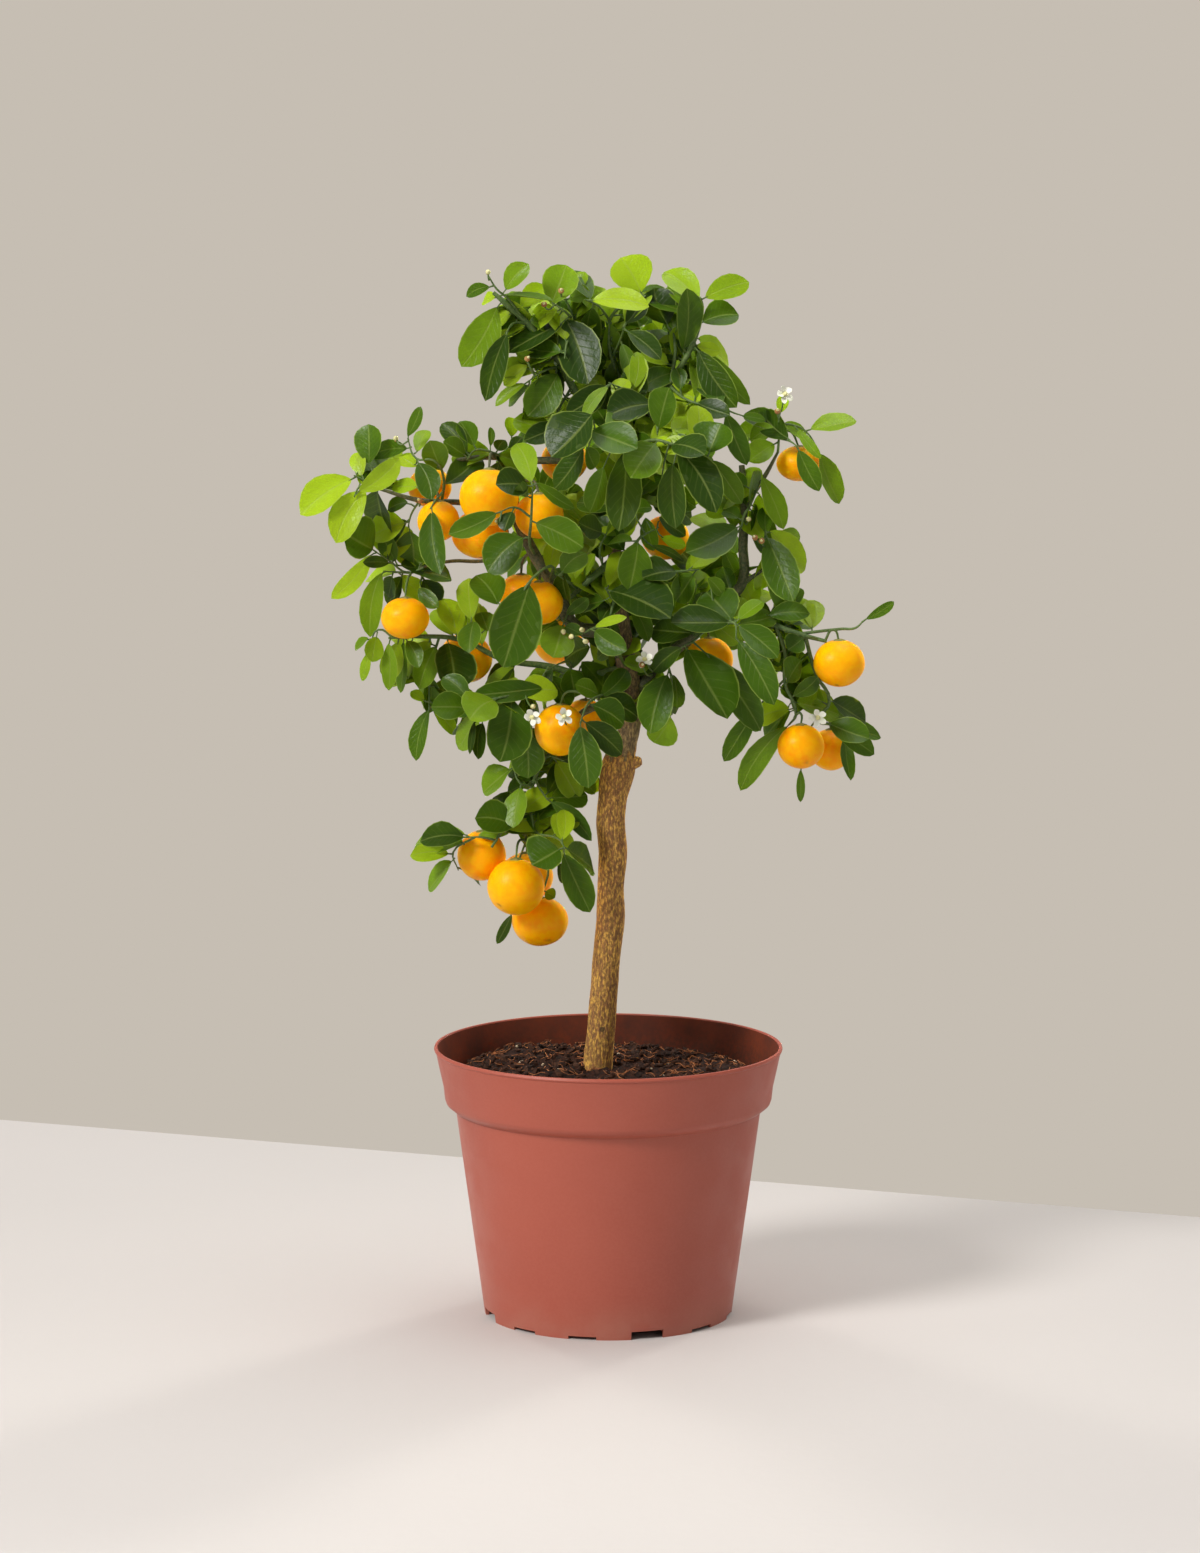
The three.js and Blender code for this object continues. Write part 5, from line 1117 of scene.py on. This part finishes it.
        [2.2, 1.4, [-20, 478, 54], [-34, 470, 84], [-44, 462, 104]],
    ], [
        [-12, 475, -6, 500, 17, 10, 1], [-22, 479, -40, 500, 18, 8, 0], [-30, 482, -18, 504, 16, 14, 1],
        [-46, 494, -62, 512, 17, 12, 1], [-46, 494, -70, 488, 16, 16, 1], [-42, 490, -30, 516, 15, 20, 0],
        [-30, 473, -20, 454, 17, 8, 0], [-38, 467, -60, 470, 16, 10, 1], [-44, 462, -60, 446, 16, 14, 1],
        [-44, 462, -34, 440, 15, 16, 0],
    ]],
    ["branch_rear_right", [
        [3.4, 1.6, [9, 406, 1], [26, 420, 38], [46, 438, 70], [62, 456, 92]],
        [2.2, 1.4, [36, 429, 54], [52, 424, 84], [64, 420, 104]],
    ], [
        [20, 415, 12, 438, 17, 10, 0], [32, 425, 26, 448, 17, 8, 1], [46, 438, 64, 430, 16, 6, 1],
        [52, 445, 40, 466, 17, 10, 0], [62, 456, 76, 474, 16, 12, 1], [62, 456, 82, 450, 16, 16, 1],
        [60, 454, 54, 478, 15, 16, 0], [50, 424, 44, 402, 16, 8, 1], [64, 420, 80, 408, 16, 10, 1],
        [64, 420, 66, 440, 15, 16, 0], [56, 422, 62, 400, 14, 12, 1],
    ]],
    ["branch_rear_low", [
        [3.4, 1.6, [9, 394, 0], [-4, 404, 36], [-22, 416, 70], [-36, 428, 98]],
        [2.2, 1.4, [-12, 409, 52], [2, 396, 84], [10, 388, 106]],
        [2, 1.8, [-24, 418, 74], [-31, 432, 86], "fruit_rear_low"],
    ], [
        [-8, 406, -26, 398, 16, 8, 0], [-16, 412, -8, 434, 17, 8, 1], [-28, 421, -46, 412, 16, 6, 1],
        [-36, 428, -54, 438, 16, 12, 1], [-36, 428, -26, 450, 16, 14, 0], [-32, 424, -22, 404, 14, 22, 1],
        [-4, 402, -12, 380, 16, 8, 0], [4, 394, 22, 402, 16, 8, 1], [10, 388, 28, 378, 16, 12, 1],
        [10, 388, -4, 372, 15, 14, 1],
    ]],
    ["branch_rear_top", [
        [3, 1.6, [20, 544, 4], [10, 556, 34], [-2, 572, 60], [-10, 588, 76]],
        [2.2, 1.4, [6, 561, 42], [22, 572, 64], [34, 584, 80]],
    ], [
        [12, 553, -8, 548, 16, 8, 0], [2, 566, -18, 574, 17, 8, 1], [-6, 580, -28, 588, 16, 8, 1],
        [-10, 588, -20, 604, 15, 14, 2], [-10, 588, 8, 598, 15, 12, 1], [14, 567, 30, 556, 17, 8, 0],
        [22, 572, 40, 570, 16, 10, 1], [34, 584, 50, 590, 15, 12, 2], [34, 584, 26, 604, 15, 14, 1],
        [28, 578, 18, 592, 14, 14, 1],
    ]],
]
LEANS = (0, -7, 7, -14, 14, -21, 21, -28, 28)
DROOP = 0.1
LEAF_GLOW = 0.34
STALK_THICK = 0.00062
TWIG_SLIM = 0.82
BLADE_ROWS = ((0.0, 0.0), (0.07, 0.29), (0.19, 0.61), (0.34, 0.87), (0.51, 1.0), (0.68, 0.97), (0.82, 0.79),
              (0.93, 0.46), (1.0, 0.0))


def blade_pattern():
    """The blade laid flat, with its faces. Each point is its share along, its reach across, which side it
    faces, and its column from -1 to 1. The two sides share the points of the margin, the base and the tip."""
    spots, faces, lookup = [], [], {}

    def spot(row, column, side):
        along, reach = BLADE_ROWS[row]
        tip = reach == 0.0
        key = (row, 0 if tip else column, 0 if tip or abs(column) == 2 else side)
        if key not in lookup:
            lookup[key] = len(spots)
            spots.append((along, 0.0 if tip else reach * column / 2, key[2], column / 2))
        return lookup[key]

    for row in range(len(BLADE_ROWS) - 1):
        for column in (-2, -1, 0, 1):
            for side in (1, -1):
                loop = [spot(row, column, side), spot(row, column + 1, side), spot(row + 1, column + 1, side),
                        spot(row + 1, column, side)]
                loop = list(dict.fromkeys(loop))
                faces.append(loop if side == 1 else loop[::-1])
    return np.array(spots), faces


BLADE, BLADE_FACES = blade_pattern()


def nearest_wood(stems, across, up):
    """The nearest spot on a shoot's stems, judged as the crown is laid out."""
    best = None
    for _, _, *rows in stems:
        knots = [row if not isinstance(row, str) else None for row in rows]
        if knots[-1] is None:
            name, x, z, y, _, high = next(f for f in FRUITS if f[0] == rows[-1])
            knots[-1] = (x, z + high / 2, y)
        for i in range(len(knots) - 1):
            (ax, az, ay), (bx, bz, by) = knots[i], knots[i + 1]
            full = math.sqrt((bx - ax) ** 2 + (bz - az) ** 2 + (by - ay) ** 2)
            short = 0 if i + 2 < len(knots) else 1.6 / full
            share = ((across - ax) * (bx - ax) + (up - az) * (bz - az)) / ((bx - ax) ** 2 + (bz - az) ** 2)
            share = min(max(share, 0), 1 - short)
            spot = (ax + (bx - ax) * share, az + (bz - az) * share, ay + (by - ay) * share)
            away = math.hypot(spot[0] - across, spot[1] - up)
            if best is None or away < best[0] - 0.01:
                best = (away, spot)
    return best


def leaf_line(stems, leaf, lean):
    """Where one leaf's stalk starts, and its blade's base and tip."""
    bx, bz, tx, tz, _, deep, _ = leaf
    away, spot = nearest_wood(stems, bx, bz)
    root = place_of(*spot)
    base = place_of(bx, bz, spot[2] + (deep + lean) * min(away / 20, 0.5))
    tip = place_of(tx, tz, spot[2] + deep + lean)
    if (base - root).length < 0.0025:
        base = root + (tip - root).normalized() * 0.003
    return root, base, tip


def nearest_whole(x):
    return math.floor(x + 0.5)


def leaf_copy(base, tip, width, turn, tone, draw):
    """One leaf: points, flat places for the veins and its tints."""
    along = tip - base
    length = along.length
    along.normalize()
    face = Vector((0.40 * math.sin(turn * 2.4), -0.8 + 0.3 * math.sin(turn * 1.7),
                   0.55 + 0.3 * math.sin(turn * 3.1)))
    normal = (face - along * face.dot(along)).normalized()
    side = along.cross(normal)
    shown = abs(side.x * along.z - side.z * along.x) / max(math.hypot(along.x, along.z), 0.3)
    half = width / 2000 * 1.06 / max(shown, 0.68)
    t, x, facing, column = BLADE.T
    fold = draw.uniform(0.14, 0.40)
    wave = draw.uniform(0.02, 0.09)
    phase, beat = draw.uniform(0, 6.28), draw.uniform(7, 12)
    cup = draw.uniform(-0.04, 0.09)
    sway = draw.uniform(-0.08, 0.08)
    edge = np.abs(x)
    lift = half * (fold * edge + wave * edge ** 1.5 * np.sin(beat * t + phase + 1.3 * np.sign(x)))
    lift += length * cup * (0.25 - (t - 0.5) ** 2)
    lift += facing * (0.00024 * (1 - np.abs(column)) + 0.00008)
    lift -= np.where((column == 0) & (facing < 0), 0.00022, 0)
    lift -= np.where((column == 0) & (facing > 0), 0.00012, 0)
    bend = length * sway * 4 * t * (1 - t)
    middle = np.array(base)[None] + np.outer(t * length, along) + np.outer(bend, side)
    middle[:, 2] -= DROOP * length * t * t
    points = middle + np.outer(x * half, side) + np.outer(lift, normal)
    flat = np.stack([0.5 + 0.5 * column * np.where(t % 1.0 == 0, 0, 1), t], 1)
    tint = np.stack([np.full(len(t), tone / 3), np.full(len(t), draw.random()),
                     np.where(facing < 0, 1.0, 0.0), np.full(len(t), draw.random())], 1)
    return points, flat, tint


def stalk_copy(root, base, along, thick):
    """The leaf's short stalk: a four-sided tube from the twig into the midrib."""
    ahead = (base - root).normalized()
    across = ahead.cross(Vector((0.31, 0.25, 0.92))).normalized()
    up = across.cross(ahead)
    rings = []
    for spot, size in ((root, thick), (base.lerp(root, 0.4), thick * 0.85),
                       (base + along * 0.0022, thick * 0.55)):
        rings += [spot + across * size, spot + up * size, spot - across * size, spot - up * size]
    faces = []
    for ring in (0, 4):
        faces += [(ring + k, ring + (k + 1) % 4, ring + 4 + (k + 1) % 4, ring + 4 + k) for k in range(4)]
    return rings, faces + [(3, 2, 1, 0), (8, 9, 10, 11)]


def leaf_finish():
    """Blade: tone from deep green, partly painted shade, to yellow-green, partly young leaves and partly
    painted backlight; paler ribs and edge, dull pale underside.
    """
    made, tree, shader = finish_for("citrus_leaf", 0.34)
    tints = node_in(tree, "Attribute", attribute_name="tints")
    parts = node_in(tree, "SeparateColor", [(0, tints.outputs["Color"])])
    tone, luck, below = parts.outputs["Red"], parts.outputs["Green"], parts.outputs["Blue"]
    shift = math_in(tree, "MULTIPLY", math_in(tree, "SUBTRACT", luck, 0.5), 0.22)
    _, patch = mottle_in(tree, (0, 0, 0, 1), (1, 1, 1, 1), 75.0, 0.35)
    patch_shift = math_in(tree, "MULTIPLY", math_in(tree, "SUBTRACT", patch, 0.5), 0.14)
    level = math_in(tree, "ADD", tone, math_in(tree, "ADD", shift, patch_shift))
    scale = node_in(tree, "ValToRGB", [("Fac", level)])
    stops = scale.color_ramp.elements
    stops[0].position, stops[0].color = 0.0, LEAF_SHADE_TO_LIGHT_TONES[0]
    stops[1].position, stops[1].color = 1.0, LEAF_SHADE_TO_LIGHT_TONES[3]
    stops.new(0.33).color = LEAF_SHADE_TO_LIGHT_TONES[1]
    stops.new(0.66).color = LEAF_SHADE_TO_LIGHT_TONES[2]
    colour = scale.outputs["Color"]
    flat = node_in(tree, "UVMap", uv_map="blade").outputs["UV"]
    place = node_in(tree, "SeparateXYZ", [(0, flat)])
    off_rib = math_in(tree, "ABSOLUTE", math_in(tree, "SUBTRACT", place.outputs["X"], 0.5))
    rib = ramp_in(tree, off_rib, 0.045, 0.008)
    slanted = math_in(tree, "SUBTRACT", place.outputs["Y"], math_in(tree, "MULTIPLY", off_rib, 0.55))
    beat = math_in(tree, "FRACT", math_in(tree, "MULTIPLY", slanted, 8.0))
    vein = ramp_in(tree, math_in(tree, "ABSOLUTE", math_in(tree, "SUBTRACT", beat, 0.5)), 0.10, 0.0)
    vein = math_in(tree, "MULTIPLY", vein, ramp_in(tree, off_rib, 0.47, 0.30))
    margin = ramp_in(tree, off_rib, 0.455, 0.495)
    pale = mix_in(tree, 0.5, colour, (0.42, 0.50, 0.12, 1))
    veined = mix_in(tree, math_in(tree, "MULTIPLY", vein, 0.22), colour, pale)
    ribbed = mix_in(tree, math_in(tree, "MULTIPLY", rib, 0.62), veined, pale)
    edged = mix_in(tree, math_in(tree, "MULTIPLY", margin, 0.55), ribbed, (0.44, 0.56, 0.10, 1))
    dull = mix_in(tree, 0.45, edged, (0.30, 0.40, 0.13, 1))
    under_side = mix_in(tree, math_in(tree, "MULTIPLY", below, 0.5), edged, dull)
    _, speck_mask = mottle_in(tree, (0, 0, 0, 1), (1, 1, 1, 1), 1500.0, 0.10)
    fine = mix_in(tree, math_in(tree, "MULTIPLY", speck_mask, 0.10), under_side, (0.02, 0.04, 0.01, 1))
    tree.links.new(fine, shader.inputs["Base Color"])
    shader.inputs["Specular IOR Level"].default_value = 0.22
    tree.links.new(ramp_in(tree, below, 0.0, 1.0, 0.30, 0.58), shader.inputs["Roughness"])
    raised = math_in(tree, "ADD", math_in(tree, "MULTIPLY", rib, -0.6),
                     math_in(tree, "MULTIPLY", vein, -0.35))
    under = bump_in(tree, shader, raised, 0.0004, 0.45)
    bump_in(tree, shader, grain_in(tree, 420.0), 0.0006, 0.35, under)
    glow = node_in(tree, "BsdfTranslucent")
    tree.links.new(mix_in(tree, 0.5, fine, (0.50, 0.62, 0.06, 1)), glow.inputs["Color"])
    blend = node_in(tree, "MixShader", [(0, LEAF_GLOW)])
    tree.links.new(shader.outputs[0], blend.inputs[1])
    tree.links.new(glow.outputs[0], blend.inputs[2])
    tree.links.new(blend.outputs[0], tree.nodes["Material Output"].inputs["Surface"])
    return made


# The four leaf tones stand in part for light: the deep greens are partly painted shade and the yellow-greens
# partly painted backlight.
LEAF_SHADE_TO_LIGHT_TONES = ((0.024, 0.060, 0.004, 1), (0.062, 0.142, 0.005, 1), (0.200, 0.345, 0.009, 1),
              (0.43, 0.60, 0.017, 1))
citrus_leaf = leaf_finish()
leaf_lines = [leaf[:5] for _, _, leaves in SHOOTS for leaf in leaves]


def crowd_at(across, up):
    """How many leaves of the layout lie at or close beside a spot."""
    count = 0
    for bx, bz, tx, tz, wide in leaf_lines:
        share = ((across - bx) * (tx - bx) + (up - bz) * (tz - bz)) / ((tx - bx) ** 2 + (tz - bz) ** 2)
        share = min(max(share, 0), 1)
        away = math.hypot(bx + (tx - bx) * share - across, bz + (tz - bz) * share - up)
        count += away < wide / 2 + 7
    return count


def hides_fruit(across, up, deep):
    """Whether a leaf at this spot would stand in front of a fruit or in it."""
    return any(math.hypot(across - x, up - z) < wide / 2 + 5 and deep < y + 14
               for _, x, z, y, wide, _ in FRUITS)


REAR_NEAR, REAR_FAR = 12, 100


def inner_leaves(stems, draw, rear):
    """Smaller leaves behind the listed ones, and all round on the rear branches."""
    found = []
    tries, near, far, crowd = (7, -34, 34, 1) if rear else (2, 5, 26, 2)
    for _, _, *rows in stems:
        if isinstance(rows[-1], str):
            continue
        for (ax, az, ay), (bx, bz, by) in zip(rows, rows[1:]):
            steps = max(1, int(math.hypot(bx - ax, bz - az) / 6))
            for k in range(steps):
                share = (k + draw.random()) / steps
                sx, sz, sy = ax + (bx - ax) * share, az + (bz - az) * share, ay + (by - ay) * share
                for _ in range(tries):
                    heading = draw.uniform(0, 2 * math.pi)
                    long = draw.uniform(17, 31)
                    tx, tz = sx + long * math.cos(heading), sz + long * math.sin(heading) + 2
                    deep = draw.uniform(near, far)
                    tone = draw.choice((0, 1, 1, 2, 2.6, 3, 3))
                    wide = long * draw.uniform(0.43, 0.56)
                    middle = ((sx + tx) / 2, (sz + tz) / 2)
                    if min(crowd_at(tx, tz), crowd_at(*middle)) < crowd:
                        continue
                    if rear and not REAR_NEAR <= sy + deep <= REAR_FAR:
                        continue
                    if hides_fruit(tx, tz, sy + deep) or hides_fruit(*middle, sy + deep / 2):
                        continue
                    start = (sx + 2.5 * math.cos(heading), sz + 2.5 * math.sin(heading))
                    found.append((*start, tx, tz, wide, deep, tone))
    return found


for name, stems, leaves in SHOOTS:
    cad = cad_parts[name].data.vertices
    tips = KDTree(len(cad))
    for k, vertex in enumerate(cad):
        tips.insert(vertex.co, k)
    tips.balance()
    draw = random.Random(name)
    points, faces, flats, tints, finishes = [], [], [], [], []
    inner = inner_leaves(stems, random.Random(name + "_inner"), "_rear_" in name)
    for index, leaf in enumerate(leaves + inner):
        # A leaf of the layout takes the lean that brings its tip nearest to its leaf in the CAD.
        best = None
        for lean in LEANS if index < len(leaves) else (0,):
            root, base, tip = leaf_line(stems, leaf, lean)
            end = tip - Vector((0, 0, DROOP * (tip - base).length))
            miss = tips.find(end)[2]
            if best is None or miss < best[0] - 1e-5:
                best = (miss, root, base, tip)
        _, root, base, tip = best
        turn = index + nearest_whole(abs(leaf[0] + leaf[1]))
        spots, flat, tint = leaf_copy(base, tip, leaf[4], turn, leaf[6], draw)
        first = len(points)
        points += list(spots)
        flats += list(flat)
        tints += list(tint)
        faces += [[first + k for k in loop] for loop in BLADE_FACES]
        finishes += [0] * len(BLADE_FACES)
        stalk, sides = stalk_copy(root, base, (tip - base).normalized(), STALK_THICK)
        first = len(points)
        points += stalk
        flats += [(0.5, 0.5)] * len(stalk)
        tints += [tint[0]] * len(stalk)
        faces += [[first + k for k in loop] for loop in sides]
        finishes += [1] * len(sides)
    blades = shell(name.replace("branch_", "leaves_").replace("shoot_", "leaves_"), points, faces)
    blades.data.materials.append(citrus_leaf)
    blades.data.materials.append(twig_green)
    blades.data.polygons.foreach_set("material_index", finishes)
    paint = blades.data.color_attributes.new("tints", "FLOAT_COLOR", "POINT")
    paint.data.foreach_set("color", np.array(tints, np.float32).ravel())
    layer = blades.data.uv_layers.new(name="blade")
    corner = np.zeros(len(blades.data.loops), np.int32)
    blades.data.loops.foreach_get("vertex_index", corner)
    layer.data.foreach_set("uv", np.array(flats, np.float32)[corner].ravel())
    bpy.ops.object.shade_smooth_by_angle(angle=math.radians(70))
    wood_name = name.replace("branch_", "twigs_").replace("shoot_", "stalks_")
    twigs = tubes(wood_name, stem_runs(stems, TWIG_SLIM), 2, 4)
    twigs.data.materials.append(twig_green)
    for piece, kind in ((blades, "leaf"), (twigs, "green_wood")):
        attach(piece, "root")
        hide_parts(name)

# ---------------------------------------------------------------- flowers and buds
# Small white five-petalled flowers, pale unopened buds and brown cups left by fallen petals, on short stalks.
# Petals are copies of the blade, and buds and cups are copies of one small drop.
FLOWERS = [(-46, 362, -34), (-27, 363, -40), (104, 555, -10), (125, 362, -22), (22, 397, -22)]
BUDS = [(-27, 414, -26), (-22, 411, -30), (-16, 415, -26), (-14, 408, -28), (-126, 529, -10), (-71, 627, -16),
        (83, 481, -14), (-45, 369, -30)]
CUPS = [(87, 470, -18), (100, 545, -12), (-28, 616, -12), (-38, 608, -10), (-48, 576, -12), (20, 394, -24),
        (-112, 492, -10), (91, 468, -18), (-66, 480, -36)]


PETAL_WIDE = 3.3


def drop_copy(middle, ahead, wide, long):
    """A small drop, blunt behind and pointed ahead."""
    across = ahead.cross(Vector((0.3, 0.2, 0.93))).normalized()
    up = across.cross(ahead)
    points, turns = [middle - ahead * long / 2], 10
    for share, reach in ((0.08, 0.55), (0.28, 0.95), (0.52, 1.0), (0.76, 0.7), (0.93, 0.32)):
        for k in range(turns):
            a = 2 * math.pi * k / turns
            out = across * math.cos(a) + up * math.sin(a)
            points.append(middle + ahead * long * (share - 0.5) + out * wide / 2 * reach)
    points.append(middle + ahead * long / 2)
    faces = [(0, 1 + (k + 1) % turns, 1 + k) for k in range(turns)]
    for row in range(4):
        a, b = 1 + row * turns, 1 + (row + 1) * turns
        faces += [(a + k, a + (k + 1) % turns, b + (k + 1) % turns, b + k) for k in range(turns)]
    faces += [(len(points) - 1, 1 + 4 * turns + k, 1 + 4 * turns + (k + 1) % turns) for k in range(turns)]
    return points, faces


def blossom_finish(name, first, second, roughness):
    return plain_finish(name, roughness, (first, second), 420.0, 0.25, (1600.0, 0.4), 0.00015, 0.5)[0]


petal_white = blossom_finish("petal_white", (0.88, 0.87, 0.80, 1), (0.74, 0.76, 0.60, 1), 0.55)
bud_cream = blossom_finish("bud_cream", (0.80, 0.74, 0.42, 1), (0.62, 0.62, 0.24, 1), 0.5)
cup_brown = blossom_finish("cup_brown", (0.30, 0.115, 0.035, 1), (0.46, 0.27, 0.08, 1), 0.7)
all_wood = [stem for _, stems, *_ in LIMBS + SHOOTS for stem in stems]
draw = random.Random(23)
parts_of = {"flower_petals": ([], []), "flower_buds": ([], []), "flower_cups": ([], [])}
stalks = []


def join(kind, points, faces):
    all_points, all_faces = parts_of[kind]
    first = len(all_points)
    all_points += [tuple(p) for p in points]
    all_faces += [[first + k for k in loop] for loop in faces]


for kind, rows in (("flower_petals", FLOWERS), ("flower_buds", BUDS), ("flower_cups", CUPS)):
    for across, up, deep in rows:
        middle = place_of(across, up, deep)
        _, spot = nearest_wood(all_wood, across, up)
        root = place_of(*spot)
        ahead = Vector((draw.uniform(-0.5, 0.5), -0.8, draw.uniform(-0.1, 0.6))).normalized()
        bend = root.lerp(middle, 0.6) + Vector((0, -0.002, -0.003))
        stalks.append(([root, bend, middle - ahead * 0.001], [0.0006, 0.0005, 0.0006]))
        if kind == "flower_buds":
            join(kind, *drop_copy(middle, ahead, 0.0030, 0.0046))
            join("flower_cups", *drop_copy(middle - ahead * 0.0022, ahead, 0.0026, 0.0018))
        elif kind == "flower_cups":
            join(kind, *drop_copy(middle, ahead, 0.0036, 0.0030))
            join("flower_buds", *drop_copy(middle + ahead * 0.0018, ahead, 0.0016, 0.0024))
        else:
            join("flower_buds", *drop_copy(middle + ahead * 0.0012, ahead, 0.0028, 0.0040))
            side = ahead.cross(Vector((0, 0, 1))).normalized()
            rise = side.cross(ahead)
            for k in range(5):
                a = 2 * math.pi * k / 5 + draw.uniform(-0.15, 0.15)
                out = side * math.cos(a) + rise * math.sin(a)
                tip = middle + out * 0.0056 + ahead * 0.0018
                points, _, _ = leaf_copy(middle + out * 0.0006, tip, PETAL_WIDE, k, 3, draw)
                join(kind, points, BLADE_FACES)
for kind, finish in (("flower_petals", petal_white), ("flower_buds", bud_cream), ("flower_cups", cup_brown)):
    piece = shell(kind, *parts_of[kind])
    piece.data.materials.append(finish)
    bpy.ops.object.shade_smooth_by_angle(angle=math.radians(60))
    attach(piece, "root")
flower_stalks = tubes("flower_stalks", stalks, 1, 4)
flower_stalks.data.materials.append(twig_green)
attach(flower_stalks, "root")
